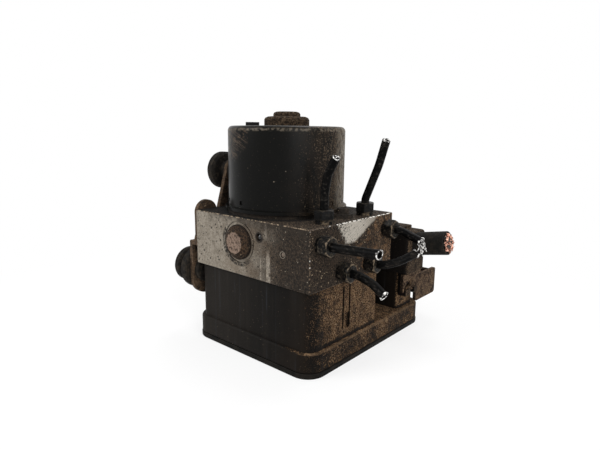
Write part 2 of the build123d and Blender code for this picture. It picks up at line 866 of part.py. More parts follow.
def make_motor_screw():
    """A flanged socket-head screw that holds one ear of the end plate."""
    head_top = plate_top + motor_screw_height
    screw = rod_z(motor_screw_head, plate_top, head_top)
    screw = chamfer(screw.edges().sort_by(Axis.Z)[-1], 0.5)
    screw += rod_z(motor_screw_head + 0.5, plate_top, plate_top + 0.8)
    screw += rod_z(motor_screw_radius, block_top - motor_screw_grip + board_gap, plate_top)
    socket = Pos(0, 0, plate_top + motor_screw_height / 2) * RegularPolygon(0.55 * motor_screw_head, 6)
    return screw - extrude(socket, amount=motor_screw_height / 2)


def make_core():
    """The armature's slotted iron stack."""
    core = rod_z(core_radius, core_low, core_top)
    outer = core_radius - tooth_tip
    half, gap = slot_width / 2, tooth_gap / 2
    slot = block_between((outer - slot_depth, outer), (-half, half), (core_low, core_top))
    slot += block_between((outer - 0.5, core_radius + 1), (-gap, gap), (core_low, core_top))
    for i in range(slot_count):
        core -= Rot(0, 0, 360 / slot_count * i) * slot
    return core - rod_z(shaft_radius, core_low, core_top)


def make_windings(core):
    """Copper that fills the slots and loops over both ends of the stack."""
    outer = core_radius - tooth_tip
    inner = outer - slot_depth
    windings = turned(
        (
            (inner, winding_low + 1.0),
            (inner + 1.0, winding_low),
            (outer - 2.5, winding_low),
            (outer, winding_low + 2.0),
            (outer, winding_top - 2.5),
            (outer - 2.5, winding_top),
            (inner + 1.0, winding_top),
            (inner, winding_top - 1.0),
        )
    )
    return windings - core


def make_commutator():
    """The copper commutator, grooved between its bars."""
    top = commutator_low + commutator_height
    commutator = rod_z(commutator_radius, commutator_low, top)
    commutator -= rod_z(shaft_radius, commutator_low, top)
    groove_x = (commutator_radius - bar_groove, commutator_radius + 1)
    groove = block_between(groove_x, (-bar_gap / 2, bar_gap / 2), (commutator_low, top))
    for i in range(slot_count):
        commutator -= Rot(0, 0, 360 / slot_count * (i + 0.5)) * groove
    return commutator


def make_shaft():
    """The motor shaft, with the eccentric journal that drives both pump pistons."""
    low = pump_z - ring_height / 2 - shaft_tail
    high = ceiling + top_bearing_height + board_gap
    shaft = rod_z(shaft_radius, low, high)
    shaft = chamfer(shaft.edges().filter_by(GeomType.CIRCLE), 0.5)
    reach = ring_height / 2 + board_gap
    return shaft + Pos(eccentric_throw, 0, 0) * rod_z(eccentric_radius, pump_z - reach, pump_z + reach)


def make_magnet():
    """One ferrite arc, half of the motor's field."""
    low, height = core_low - magnet_overhang, core_height + 2 * magnet_overhang
    section = Pos(core_radius + air_gap, 0, low + height / 2) * Rot(90, 0, 0)
    section *= Rectangle(can_inner - core_radius - air_gap, height, align=(Align.MIN, Align.CENTER))
    return Rot(0, 0, -magnet_arc / 2) * revolve(section, Axis.Z, magnet_arc)


brush_start = commutator_radius + spring_gap
brush_end = brush_start + brush_length
guide_end = can_inner - guide_inset
brush_middle = commutator_low + commutator_height / 2
brush_low = brush_middle - brush_size / 2
brush_plate_top = brush_plate_z + brush_plate_thickness
guide_top = brush_low + brush_size + spring_gap


def contact_blades():
    """The two blades that carry current from the board up to the brushes."""
    half_x, half_y = blade_contact_thickness / 2, blade_contact_width / 2
    blade_x, blade_z = (contact_x - half_x, contact_x + half_x), (board_top, brush_plate_top)
    middles = (-blade_contact_y, blade_contact_y)
    return [block_between(blade_x, (y - half_y, y + half_y), blade_z) for y in middles]


def make_brush_plate():
    """A moulded disc with two box guides for the brushes."""
    plate = rod_z(can_inner - free_gap, brush_plate_z, brush_plate_top)
    half = brush_size / 2 + spring_gap
    for side in (-1, 1):
        guide_y = sorted((side * (brush_start + guide_wall), side * guide_end))
        guide_z = (brush_plate_top, guide_top + guide_wall)
        guide = block_between((-half - guide_wall, half + guide_wall), guide_y, guide_z)
        tunnel_y = sorted((side * brush_start, side * (guide_end - guide_wall)))
        plate += guide - block_between((-half, half), tunnel_y, (brush_low - spring_gap, guide_top))
    plate -= rod_z(shaft_radius + bearing_lip, brush_plate_z, brush_plate_top)
    for blade in contact_blades():
        plate -= blade
    return plate


def make_brush(side):
    """A carbon brush, hollowed at its end to bear on the commutator."""
    brush_y = sorted((side * (commutator_radius - 2), side * brush_end))
    brush = block_between((-brush_size / 2, brush_size / 2), brush_y, (brush_low, brush_low + brush_size))
    return brush - rod_z(brush_start, brush_low - 1, brush_low + brush_size + 1)


core = make_core()
parts["motor_can"] = make_can()
parts["motor_end_plate"] = make_end_plate()
parts["armature_core"] = core
parts["armature_windings"] = make_windings(core)
parts["commutator"] = make_commutator()
parts["motor_shaft"] = make_shaft()
ring_z = (pump_z - ring_height / 2, pump_z + ring_height / 2)
ring = rod_z(ring_radius, *ring_z) - rod_z(eccentric_radius, *ring_z)
parts["eccentric_ring"] = Pos(eccentric_throw, 0, 0) * ring
race_bore = shaft_radius + running_gap
lower_race_z = (block_top, block_top + bearing_height)
parts["lower_bearing"] = rod_z(bearing_radius, *lower_race_z) - rod_z(race_bore, *lower_race_z)
upper_race_z = (ceiling + free_gap, ceiling + free_gap + top_bearing_height)
parts["upper_bearing"] = rod_z(top_bearing_radius, *upper_race_z) - rod_z(race_bore, *upper_race_z)
magnet = make_magnet()
parts["field_magnets"] = group([magnet, Rot(0, 0, 180) * magnet])
parts["brush_plate"] = make_brush_plate()
parts["brushes"] = group([make_brush(-1), make_brush(1)])
brush_spring_length = guide_end - guide_wall - brush_end
brush_spring = coil_spring(brush_spring_radius, brush_wire, brush_spring_length, brush_spring_turns, 8)
brush_spring = Pos(0, 0, brush_end) * brush_spring
brush_level = Pos(0, 0, brush_middle)
parts["brush_springs"] = group([brush_level * Rot(turn, 0, 0) * brush_spring for turn in (-90, 90)])
motor_screw = make_motor_screw()
parts["motor_screws"] = group([Pos(x, y, 0) * motor_screw for x, y in ear_places])
parts["motor_contacts"] = group(contact_blades())
contact_sleeve = rod_z(contact_radius, block_low - contact_tail, plate_top, contact_x)
for blade in contact_blades():
    contact_sleeve -= blade
parts["contact_sleeve"] = contact_sleeve
vent_place = Pos(vent_x, vent_y, can_top) * Rot(0, 0, vent_turn)
parts["vent_cap"] = vent_place * extrude(RectangleRounded(vent_length, vent_width, 1.2), amount=vent_height)


# ---------------------------------------------------------------- pipes and tube nuts
def make_nut():
    """A flare nut: hex head, short neck and threaded shank, bored for the pipe."""
    head_low = nut_neck
    head_top = nut_neck + nut_height
    corner = nut_across_flats / 2 / cos(radians(30))
    nut = extrude(Pos(0, 0, head_low) * RegularPolygon(corner, 6), amount=nut_height)
    nut &= turned(
        (
            (0, head_low),
            (corner - 0.9, head_low),
            (corner, head_low + 0.7),
            (corner, head_top - 0.9),
            (corner - 1.2, head_top),
            (0, head_top),
        )
    )
    nut += rod_z(nut_neck_radius, 0, head_low)
    nut += rod_z(nut_thread_radius, -nut_thread_length, 0)
    return nut - rod_z(pipe_radius + spring_gap, -nut_thread_length, head_top)


def make_pipe(points, radii):
    """A coated steel pipe along straight runs and tangent bends, open at its cut end."""
    path = FilletPolyline(*points, radius=radii)
    start = Plane(origin=path @ 0, z_dir=path % 0)
    pipe = sweep(start * Circle(pipe_radius), path=path)
    return pipe - sweep(start * Circle(pipe_bore_radius), path=path)


nut = make_nut()
flare = nut_thread_length + flare_depth
parts["inlet_nuts"] = group([Pos(inlet_x, side * inlet_y, block_top) * nut for side in (-1, 1)])
parts["outlet_nuts"] = group([Pos(block_right, y, z) * Rot(0, 90, 0) * nut for _, y, z in outlet_ports])
inlet_runs = (("front", -inlet_y, front_inlet_run), ("rear", inlet_y, rear_inlet_run))
for name, y, run in inlet_runs:
    route = [(inlet_x, y, block_top - flare)]
    route += [(inlet_x + lean, y + sway, block_top + rise) for rise, lean, sway in run]
    parts["inlet_pipe_" + name] = make_pipe(route, pipe_bends[name + "_inlet"])
for name, y, z in outlet_ports:
    route = [(block_right - flare, y, z)]
    route += [(block_right + out, y + sway, z + rise) for out, sway, rise in outlet_runs[name]]
    parts["outlet_pipe_" + name] = make_pipe(route, pipe_bends[name])


# ---------------------------------------------------------------- bracket and its bushes
def make_bracket():
    """A cranked steel plate: a Z-bent strip trimmed to its outline, with an arm to the upper eye."""
    shelf_top = bracket_step_height + bracket_thickness
    section = Polyline(
        (-block_left, bracket_step_height),
        (-block_left, upper_bush_z + upper_eye_radius),
        (bracket_outer, upper_bush_z + upper_eye_radius),
        (bracket_outer, shelf_top),
        (step_outer, shelf_top),
        (step_outer, lower_plate_bottom),
        (step_inner, lower_plate_bottom),
        (step_inner, bracket_step_height),
        close=True,
    )
    face = make_face(section)
    bends = [v for v in face.vertices() if abs(v.Y - shelf_top) < 0.01]
    strip = extrude(Plane.XZ * fillet(bends, bracket_bend), amount=block_depth / 2, both=True)

    lower_height = shelf_top - lower_plate_bottom + lower_plate_corner
    lower = RectangleRounded(2 * lower_plate_half, lower_height, lower_plate_corner)
    upper_height = upper_plate_top - bracket_step_height
    upper = Rectangle(2 * upper_plate_half, upper_height)
    outline = Pos(0, lower_plate_bottom + lower_height / 2) * lower
    outline += Pos(0, bracket_step_height + upper_height / 2) * upper
    outline += Pos(ear_centre_y, ear_centre_z) * Circle(ear_top_radius)
    foot = (upper_bush_y - upper_eye_radius - arm_spread, upper_bush_y + upper_eye_radius + arm_spread)
    outline += make_face(
        Polyline(
            (foot[0], upper_plate_top - 1),
            (upper_bush_y - upper_eye_radius, upper_bush_z),
            (upper_bush_y + upper_eye_radius, upper_bush_z),
            (foot[1], upper_plate_top - 1),
            close=True,
        )
    )
    outline += Pos(upper_bush_y, upper_bush_z) * Circle(upper_eye_radius)
    facing_x = Plane(origin=(0, 0, 0), x_dir=(0, 1, 0), z_dir=(1, 0, 0))
    bracket = strip & (facing_x * extrude(outline, amount=2 * step_outer))
    for side in (-1, 1):
        bracket -= rod_x(bolt_radius + free_gap, bracket_outer - 1, -block_left, side * bolt_y, bolt_z)
        bracket -= rod_x(bush_neck_radius, step_outer - 1, step_inner + 1, side * lower_bush_y, lower_bush_z)
    return bracket - rod_x(bush_neck_radius, bracket_outer - 1, -block_left, upper_bush_y, upper_bush_z)


def make_bush(grip, back, profile):
    """A rubber bush: an inner flange, a neck in the plate's eye and an outer shape, on a sleeve."""
    flange = bush_neck_radius + bush_flange
    points = [
        (bush_sleeve_radius, -back),
        (flange - 0.5, -back),
        (flange, -back + 0.5),
        (flange, 0),
        (bush_neck_radius, 0),
        (bush_neck_radius, grip),
    ]
    points += [(radius, grip + height) for radius, height in profile]
    points.append((bush_sleeve_radius, points[-1][1]))
    return turned(points)


upper_profile = (
    (bush_neck_radius + 0.9, 0),
    (bush_neck_radius + 0.9, 6.4),
    (upper_disc_radius - 1.6, 7.6),
    (upper_disc_radius, 9.4),
    (upper_disc_radius, 14.0),
    (upper_disc_radius - 1.8, 16.4),
    (upper_disc_radius - 4.4, 17.4),
)
lower_profile = (
    (lower_disc_radius - 1.0, 0),
    (lower_disc_radius, 1.0),
    (lower_disc_radius, 5.6),
    (lower_disc_radius - 1.2, 6.8),
    (bush_neck_radius + 3.2, 7.8),
    (bush_neck_radius + 3.2, 11.0),
    (lower_end_radius - 0.8, 12.0),
    (lower_end_radius, 13.0),
    (lower_end_radius, 16.8),
    (lower_end_radius - 1.6, 18.8),
    (lower_end_radius - 4.0, 19.4),
)
upper_bush = make_bush(bracket_thickness, upper_back, upper_profile)
lower_bush = make_bush(bracket_thickness, lower_back, lower_profile)
upper_place = Pos(-block_left, upper_bush_y, upper_bush_z) * Rot(0, -90, 0)
lower_places = [Pos(step_inner, side * lower_bush_y, lower_bush_z) * Rot(0, -90, 0) for side in (-1, 1)]
parts["mounting_bracket"] = make_bracket()
parts["bush_upper"] = upper_place * upper_bush
parts["bush_lower_front"] = lower_places[0] * lower_bush
parts["bush_lower_rear"] = lower_places[1] * lower_bush


def make_sleeve(low, high):
    """The steel tube inside a bush, which a screw passes through."""
    return rod_z(bush_sleeve_radius, low, high) - rod_z(bush_bore_radius, low, high)


upper_sleeve = make_sleeve(-upper_back, bracket_thickness + upper_profile[-1][1])
lower_sleeve = make_sleeve(-lower_back, bracket_thickness + lower_profile[-1][1])
parts["bush_sleeves"] = group([upper_place * upper_sleeve] + [place * lower_sleeve for place in lower_places])


def make_bolt():
    """A flanged hex bolt that holds the bracket to the block."""
    corner = bolt_across_flats / 2 / cos(radians(30))
    head = extrude(RegularPolygon(corner, 6), amount=bolt_head_height)
    head += rod_z(bolt_head_radius, 0, bolt_flange)
    return head + rod_z(bolt_radius, -bracket_thickness - bolt_grip + board_gap, 0)


bolt = make_bolt()
bolt_places = [Pos(bracket_outer, side * bolt_y, bolt_z) * Rot(0, -90, 0) for side in (-1, 1)]
parts["bracket_bolts"] = group([place * bolt for place in bolt_places])

# ---------------------------------------------------------------- harness connector
cheek_in = socket_right + plate_gap
cheek_out = cheek_in + cheek_thickness
slide_in = cheek_out + plate_gap
slide_out = slide_in + slide_thickness
plug_right = socket_right + plug_overhang
plug_left = socket_left - plug_overhang
cover_low = socket_top + free_gap
nose_low = socket_floor + nose_clear
plug_y = (plug_front + cheek_inset, plug_rear - cheek_inset)
slot_half = pin_radius + slot_gap
exit_plane = Plane(
    origin=(plug_right - plug_wall - cable_grip, cable_y, cable_z),
    x_dir=(0, 1, 0),
    z_dir=(cos(radians(cable_tilt)), 0, sin(radians(cable_tilt))),
)


def make_plug():
    """The harness plug: a two-level wire cover with cheeks that hang beside the socket."""
    cover_x, cover_y = (plug_left, plug_right), (plug_front, plug_rear)
    cover = rounded_slab(cover_x, cover_y, (cover_low, plug_top), plug_corner)
    step_x = (plug_right - plug_step_length, plug_right)
    cover -= block_between(step_x, cover_y, (plug_top - plug_step, plug_top))
    step_top = plug_top - plug_step
    step_edges = [e for e in cover.edges().filter_by(Axis.Y) if abs(e.center().Z - step_top) < 0.1]
    cover = fillet(ShapeList(step_edges).sort_by(Axis.X)[-1], plug_shoulder_radius)
    cover = fillet([e for e in cover.edges() if e.center().Z > plug_top - 0.1], plug_edge_radius)
    rail_out = slide_out + plate_gap + lip_thin
    rail_low = slide_bottom - free_gap - rail_height
    rail_y = (plug_y[0], handle_start - handle_clear)
    side = block_between((cheek_in, cheek_out), plug_y, (rail_low, cover_low + 1))
    side += block_between((cheek_out, rail_out), rail_y, (rail_low, slide_bottom - free_gap))
    side += block_between((slide_out + plate_gap, rail_out), rail_y, (rail_low, slide_bottom + lip_height))
    way = pin_radius + plate_gap
    side -= block_between((cheek_in, rail_out), (pin_y - way, pin_y + way), (rail_low, pin_z))
    side -= rod_x(way, cheek_in, rail_out, pin_y, pin_z)
    for half in mirrored(side, socket_centre):
        cover += half
    hollow_x = (plug_left + plug_wall, plug_right - plug_wall)
    hollow_y = (plug_front + plug_wall, plug_rear - plug_wall)
    cover -= block_between(hollow_x, hollow_y, (cover_low + plug_wall, plug_top - plug_step - plug_wall))
    return cover - exit_plane * Cylinder(cable_radius, 4 * plug_wall + 2 * cable_grip)


def make_carrier():
    """The terminal carrier under the plug, with a way for every pin of the socket."""
    inset = socket_wall + nose_gap
    nose_x = (socket_left + inset, socket_right - inset)
    nose_y = (socket_front + inset, socket_rear - inset)
    carrier = rounded_slab(nose_x, nose_y, (nose_low, cover_low), plug_seal_depth)
    for pin in contact_pins(free_gap):
        carrier -= pin
    seat = inset + plug_seal_depth
    ring_x, ring_y = (socket_left + seat, socket_right - seat), (socket_front + seat, socket_rear - seat)
    seal_low = nose_low + plug_seal_rise
    seal_z = (seal_low, seal_low + plug_seal_height)
    groove = rounded_slab(nose_x, nose_y, seal_z, plug_seal_depth) - block_between(ring_x, ring_y, seal_z)
    return carrier - groove, groove


def make_slide():
    """A U-shaped slide: two slotted cam plates joined by the bar that a hand pulls."""
    plate_y = (pin_y - lock_travel - slot_half - slide_end, handle_start + slide_lap)
    handle_y, handle_z = (handle_start, handle_end), (handle_bottom, handle_top)
    outline = Pos(sum(handle_y) / 2, sum(handle_z) / 2)
    outline *= RectangleRounded(handle_end - handle_start, handle_top - handle_bottom, handle_corner)
    outline += Pos(sum(plate_y) / 2, (slide_bottom + slide_top) / 2) * Rectangle(
        plate_y[1] - plate_y[0], slide_top - slide_bottom
    )
    opened = (pin_y - lock_travel, pin_z - lock_travel * lock_slope)
    track = Line((pin_y, pin_z), opened)
    outline -= Pos(*(track @ 0.5)) * Rot(0, 0, degrees(atan(lock_slope))) * SlotCenterToCenter(
        track.length, 2 * slot_half
    )
    mouth = opened[1] - slide_bottom
    outline -= Pos(opened[0], slide_bottom + mouth / 2) * Rectangle(2 * slot_half, mouth)
    facing_x = Plane(origin=(slide_in, 0, 0), x_dir=(0, 1, 0), z_dir=(1, 0, 0))
    near, far = mirrored(extrude(facing_x * outline, amount=slide_thickness), socket_centre)
    bar_x = (2 * socket_centre - slide_out, slide_out)
    bar_y = (handle_end - slide_thickness, handle_end)
    bar_z = (handle_bottom + handle_corner, handle_top - handle_corner)
    return near + far + block_between(bar_x, bar_y, bar_z)


def make_wires():
    """The insulated wires of the cut cable: a thick one in the middle and a ring round it."""
    ring = cable_radius - jacket_wall - wire_radius - spring_gap
    reach = cable_length + wire_proud
    wires = [rod_z(ring - wire_radius - spring_gap, 0, reach)]
    for i in range(wire_count):
        angle = radians(360 * i / wire_count)
        wires.append(rod_z(wire_radius, 0, reach - 0.8 * (i % 3), ring * cos(angle), ring * sin(angle)))
    return group([exit_plane * wire for wire in wires])


carrier, plug_seal = make_carrier()
parts["harness_plug"] = make_plug()
parts["terminal_carrier"] = carrier
parts["plug_seal"] = plug_seal
parts["slide_lock"] = make_slide()
jacket = rod_z(cable_radius, 0, cable_length) - rod_z(cable_radius - jacket_wall, 0, cable_length)
parts["harness_jacket"] = exit_plane * jacket
parts["harness_wires"] = make_wires()

# ---------------------------------------------------------------- files
os.makedirs("parts", exist_ok=True)
for name, shape in parts.items():
    export_step(shape, os.path.join("parts", name + ".step"))
    print(name, len(shape.solids()))
print(len(parts), "nodes")
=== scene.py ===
# %% [markdown]
# # Looks of an anti-lock brake module
# The module is a valve block with a pump motor on top, a black plastic controller below, six cut brake
# pipes, a rusty bracket with rubber bushes, and a harness plug with its cut cable. The solid model gives
# every shape and place. This lesson adds the camera, the light, a finish for each part, and the small
# things that a solid model leaves out, such as copper strands and torn pipe ends.

# %% Load the solid model
from math import cos, degrees, radians, sin, tau

import bpy
import numpy as np
from mathutils import Matrix, Vector


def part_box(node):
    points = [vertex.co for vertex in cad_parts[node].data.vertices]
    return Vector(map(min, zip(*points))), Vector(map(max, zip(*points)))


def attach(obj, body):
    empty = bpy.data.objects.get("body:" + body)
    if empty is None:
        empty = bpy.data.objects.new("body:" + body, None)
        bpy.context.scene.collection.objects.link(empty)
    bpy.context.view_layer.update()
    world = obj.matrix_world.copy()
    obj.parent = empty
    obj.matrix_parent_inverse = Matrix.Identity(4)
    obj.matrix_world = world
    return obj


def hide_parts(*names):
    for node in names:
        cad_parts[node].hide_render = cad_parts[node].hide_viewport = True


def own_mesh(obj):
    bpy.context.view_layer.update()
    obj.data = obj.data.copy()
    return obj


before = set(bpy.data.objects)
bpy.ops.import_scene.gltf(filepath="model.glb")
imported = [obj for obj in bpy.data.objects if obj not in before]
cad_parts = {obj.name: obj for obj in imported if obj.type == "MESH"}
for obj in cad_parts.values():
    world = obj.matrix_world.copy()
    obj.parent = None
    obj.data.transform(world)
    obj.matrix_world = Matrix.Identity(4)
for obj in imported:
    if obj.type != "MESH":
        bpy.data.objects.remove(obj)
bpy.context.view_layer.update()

MM = 0.001

# %% [markdown]
# ## The camera
# The camera stands at the front right, a little above the top of the block, turned 41 degrees round and
# looking down 11 degrees. A camera could be aimed by eye, but a place and three angles written down give
# the same view each time, so its matrix is built from them.

# %% Camera
camera_place = Vector((220.6, -238.7, 142.65)) * MM
camera_azimuth, camera_pitch, camera_roll = radians(41.06), radians(10.85), radians(0.65)
picture_width_px, focal_px, sensor_mm = 600, 477.12, 36.0

forward = Vector((
    -sin(camera_azimuth) * cos(camera_pitch),
    cos(camera_azimuth) * cos(camera_pitch),
    -sin(camera_pitch),
))
level_right = Vector((cos(camera_azimuth), sin(camera_azimuth), 0))
level_up = level_right.cross(forward)
right = level_right * cos(camera_roll) + level_up * sin(camera_roll)
up = level_up * cos(camera_roll) - level_right * sin(camera_roll)

lens = bpy.data.cameras.new("camera")
lens.sensor_width = sensor_mm
lens.lens = focal_px / picture_width_px * sensor_mm
lens.clip_start, lens.clip_end = 0.01, 20
camera = bpy.data.objects.new("camera", lens)
camera.matrix_world = Matrix.Translation(camera_place) @ Matrix((right, up, -forward)).transposed().to_4x4()
bpy.context.scene.collection.objects.link(camera)
bpy.context.scene.camera = camera
print("camera", [round(v, 4) for v in camera_place], "lens", round(lens.lens, 2), "mm")

# %% [markdown]
# ## Expressions for materials
# A procedural material is a sum of patterns. Wiring each Math node by hand hides that sum, so a small
# class lets Python's own operators add the nodes: dust * (1 - edge) reads as what it does. One function
# makes every other node from its type, its settings and its sockets.


# %% Node expressions
def add_node(tree, kind, settings=None, sockets=None, out=0):
    """Adds a node, sets its settings, then gives each socket a value or a link. Returns one output."""
    node = tree.nodes.new(kind)
    for name, value in (settings or {}).items():
        setattr(node, name, value)
    for name, value in (sockets or {}).items():
        if isinstance(value, Signal):
            tree.links.new(value.socket, node.inputs[name])
        else:
            node.inputs[name].default_value = value
    return Signal(tree, node.outputs[out])


class Signal:
    """A number, colour or vector on its way through a material. Operators add Math nodes."""

    def __init__(self, tree, socket):
        self.tree, self.socket = tree, socket

    def math(self, operation, *values):
        """A Math node on the values given. The signal itself is one of them only if it is passed too."""
        return add_node(self.tree, "ShaderNodeMath", {"operation": operation}, dict(enumerate(values)))

    def __add__(self, other):
        return self.math("ADD", self, other)

    def __sub__(self, other):
        return self.math("SUBTRACT", self, other)

    def __rsub__(self, other):
        return self.math("SUBTRACT", other, self)

    def __mul__(self, other):
        return self.math("MULTIPLY", self, other)

    def __truediv__(self, other):
        return self.math("DIVIDE", self, other)

    def __abs__(self):
        return self.math("ABSOLUTE", self)

    __radd__ = __add__
    __rmul__ = __mul__

    def low(self, other):
        return self.math("MINIMUM", self, other)

    def power(self, exponent):
        return self.math("POWER", self, exponent)

    def sine(self):
        return self.math("SINE", self)

    def rise(self, start, end):
        """0 below start and 1 above end, smooth between. With end below start it falls instead."""
        sockets = {"Value": self, "From Min": start, "From Max": end}
        return add_node(self.tree, "ShaderNodeMapRange", {"interpolation_type": "SMOOTHSTEP"}, sockets)


print("a signal has", [name for name in vars(Signal) if not name.startswith("_")], "and the operators")


# %% [markdown]
# ## A finish
# Each finish starts from the same things: where a point is on the object, in millimetres, and which way
# the surface faces. Noise at a stated size in millimetres gives grain, dirt and rust their real scale.
# What varies feeds only colour, roughness, metal and the bump, so the finish can be baked later.


# %% Finish class
def srgb(red, green, blue):
    """A colour as a paint chip states it, 0 to 255, turned into the linear numbers that light needs."""
    chip = np.array([red, green, blue]) / 255
    return tuple(np.where(chip <= 0.04045, chip / 12.92, ((chip + 0.055) / 1.055) ** 2.4))


# A Mix node has one set of sockets for each kind of data under the same names. These are the colours' own.
mix_factor, mix_first, mix_second, mix_result = 0, 6, 7, 2


class Finish:
    """One material under construction, on the object's own coordinates."""

    def __init__(self, name):
        self.material = bpy.data.materials.new(name)
        self.material.use_nodes = True
        self.tree = self.material.node_tree
        place = add_node(self.tree, "ShaderNodeTexCoord", out="Object")
        facing = add_node(self.tree, "ShaderNodeTexCoord", out="Normal")
        self.place = add_node(
            self.tree, "ShaderNodeVectorMath", {"operation": "SCALE"}, {"Vector": place, "Scale": 1 / MM}
        )
        self.x, self.y, self.z = self.split(self.place)
        self.facing_x, self.facing_y, self.facing_z = self.split(facing)

    def split(self, vector):
        """The three numbers of a vector."""
        return [add_node(self.tree, "ShaderNodeSeparateXYZ", None, {"Vector": vector}, out) for out in "XYZ"]

    def mapped(self, scale, shift):
        """The place in millimetres, scaled on each axis and then shifted alike on all three."""
        sockets = {"Vector": self.place, "Location": (shift, shift, shift), "Scale": scale}
        return add_node(self.tree, "ShaderNodeMapping", None, sockets)

    def noise(self, size, detail=3.0, stretch=(1, 1, 1), shift=0.0, rough=0.55):
        """Soft noise from 0 to 1 whose lumps are about size millimetres wide, times stretch on each axis."""
        mapped = self.mapped(tuple(1 / (size * factor) for factor in stretch), shift)
        sockets = {"Vector": mapped, "Scale": 1.0, "Detail": detail, "Roughness": rough}
        return add_node(self.tree, "ShaderNodeTexNoise", None, sockets)

    def grit(self, size=1.5, spread=0.09, shift=0.0):
        """Hard-edged grain of about size millimetres: 0 in the gaps and 1 on the grains, half of each."""
        return self.noise(size, 4.0, shift=shift, rough=0.8).rise(0.5 - spread, 0.5 + spread)

    def lines(self, signal, size):
        """Noise that varies along one signal only, so it draws brushed lines square to it."""
        sockets = {"W": signal / size, "Scale": 1.0, "Detail": 3.0, "Roughness": 0.6}
        return add_node(self.tree, "ShaderNodeTexNoise", {"noise_dimensions": "1D"}, sockets)

    def specks(self, size, share, shift=0.0, kept=0.5):
        """Specks of radius share * size, one in each cell of size millimetres, with kept of them left."""
        mapped = self.mapped((1 / size,) * 3, shift)
        distance = add_node(self.tree, "ShaderNodeTexVoronoi", None, {"Vector": mapped, "Scale": 1.0})
        sizes = self.noise(size * 1.3, 1.0, shift=shift).rise(0.62 - kept * 0.3, 0.7 - kept * 0.3)
        return distance.rise(share, share * 0.6) * sizes

    def mix(self, factor, first, second):
        """The first colour where factor is 0 and the second where it is 1."""
        first, second = [c if isinstance(c, Signal) else (*c, 1) for c in (first, second)]
        settings = {"data_type": "RGBA", "clamp_factor": True}
        sockets = {mix_factor: factor, mix_first: first, mix_second: second}
        return add_node(self.tree, "ShaderNodeMix", settings, sockets, mix_result)

    def disc(self, first, second, middle, radius, soft):
        """1 inside a circle in the plane of two coordinates, with a soft edge."""
        apart = ((first - middle[0]).power(2) + (second - middle[1]).power(2)).power(0.5)
        return apart.rise(radius + soft, radius - soft)

    def done(self, colour, roughness, metallic=0.0, height=None, depth=0.1, specular=0.5):
        """Feeds the shader. height is a pattern that a Bump node raises, and depth its millimetres."""
        colour = colour if isinstance(colour, Signal) else (*colour, 1)
        sockets = {"Base Color": colour, "Roughness": roughness, "Metallic": metallic}
        sockets["Specular IOR Level"] = specular
        shader = self.tree.nodes["Principled BSDF"]
        for name, value in sockets.items():
            if isinstance(value, Signal):
                self.tree.links.new(value.socket, shader.inputs[name])
            else:
                shader.inputs[name].default_value = value
        if height is not None:
            bump = add_node(self.tree, "ShaderNodeBump", None, {"Height": height, "Distance": depth * MM})
            self.tree.links.new(bump.socket, shader.inputs["Normal"])
        return self.material


print("a finish has", [name for name in vars(Finish) if not name.startswith("_")])


# %% [markdown]
# ## Colours of the finishes
# Each colour is written as a paint chip would state it. The road grit is a mix of two browns, a wet dark
# one between the grains and a dry pale one on them, so both are named once.

# %% Colours
grit_dark = srgb(17, 12, 8)
grit_pale = srgb(126, 100, 75)
fleck_pale = srgb(168, 148, 122)
case_black = srgb(11, 10, 9)
can_black = srgb(9, 9, 8)
block_bright = srgb(168, 162, 152)
# The colour of the painted highlight dashes on the block's edges.
highlight_white = srgb(214, 210, 202)
print("colours set, grit", [round(c, 3) for c in grit_dark], "to", [round(c, 3) for c in grit_pale])

# %% [markdown]
# ## The controller's plastic
# The case is black moulded plastic. Its sheltered front stays black, with faint streaks where water ran
# down it and thin bluish lines of painted highlight, and the side that faced the road is caked with sandy
# grit. Two masks do that: one grows where the surface looks to the right, the other where it looks up, and
# the grain breaks both. A paler band on the flange's shoulder is a painted highlight, and less grit in the
# crevice above the step is painted shade.


# %% Case finish
def grit_colour(finish, size=0.95, dark=grit_dark, pale=grit_pale):
    """Sandy grit: pale grains on dark gaps, their tone drifting slowly, with a few paler flecks."""
    drift = finish.noise(11.0, 3.0).rise(0.3, 0.7)
    grains = finish.grit(size) * (drift * 0.3 + 0.7)
    flecks = finish.specks(1.4, 0.26, 5.0, 0.3) * 0.8
    return finish.mix(flecks, finish.mix(grains, dark, pale), fleck_pale)


def sprinkle(finish, cover, size=0.75, shift=8.0):
    """A mask of grains: almost none where cover is 0, a third of the surface at 0.5, nearly all at 1."""
    return (finish.noise(size, 3.0, shift=shift, rough=0.7) + cover * 0.34).rise(0.66, 0.76)


flange_step = 16.5  # height in mm of the step from the flange to the walls


def case_cover(finish, wander, creeping):
    """How far grit covers the case: its right side and its ledges, less where rain ran, and less in the
    crevice where the wall meets the step, as painted shade.
    """
    x, y, z = finish.x, finish.y, finish.z
    side = finish.facing_x.rise(0.1, 0.7) * (y + wander).rise(-62.0, -14.0)
    ledge = finish.facing_z.rise(0.2, 0.6) * (x + y * 0.6 + wander).rise(-10.0, 40.0)
    cover = (side + ledge + creeping * 0.06).low(1.0)
    below_step = z.rise(flange_step, flange_step - 1.5) * finish.facing_x.rise(0.1, 0.6)
    # Painted shade: less grit, so darker plastic, in the crevice where the wall meets the step.
    crevice_shade = abs(z - flange_step - 1.0).rise(2.0, 0.6) * (1 - finish.facing_z.rise(0.1, 0.4))
    rubbed_off = below_step * finish.noise(16.0, 3.0, shift=3.0).rise(0.7, 0.35) * 0.3
    thin = finish.noise(4.0, 3.0, shift=7.0).rise(0.3, 0.6) * 0.3 + 0.58
    return cover * (1 - rubbed_off) * (1 - crevice_shade * 0.5) * thin


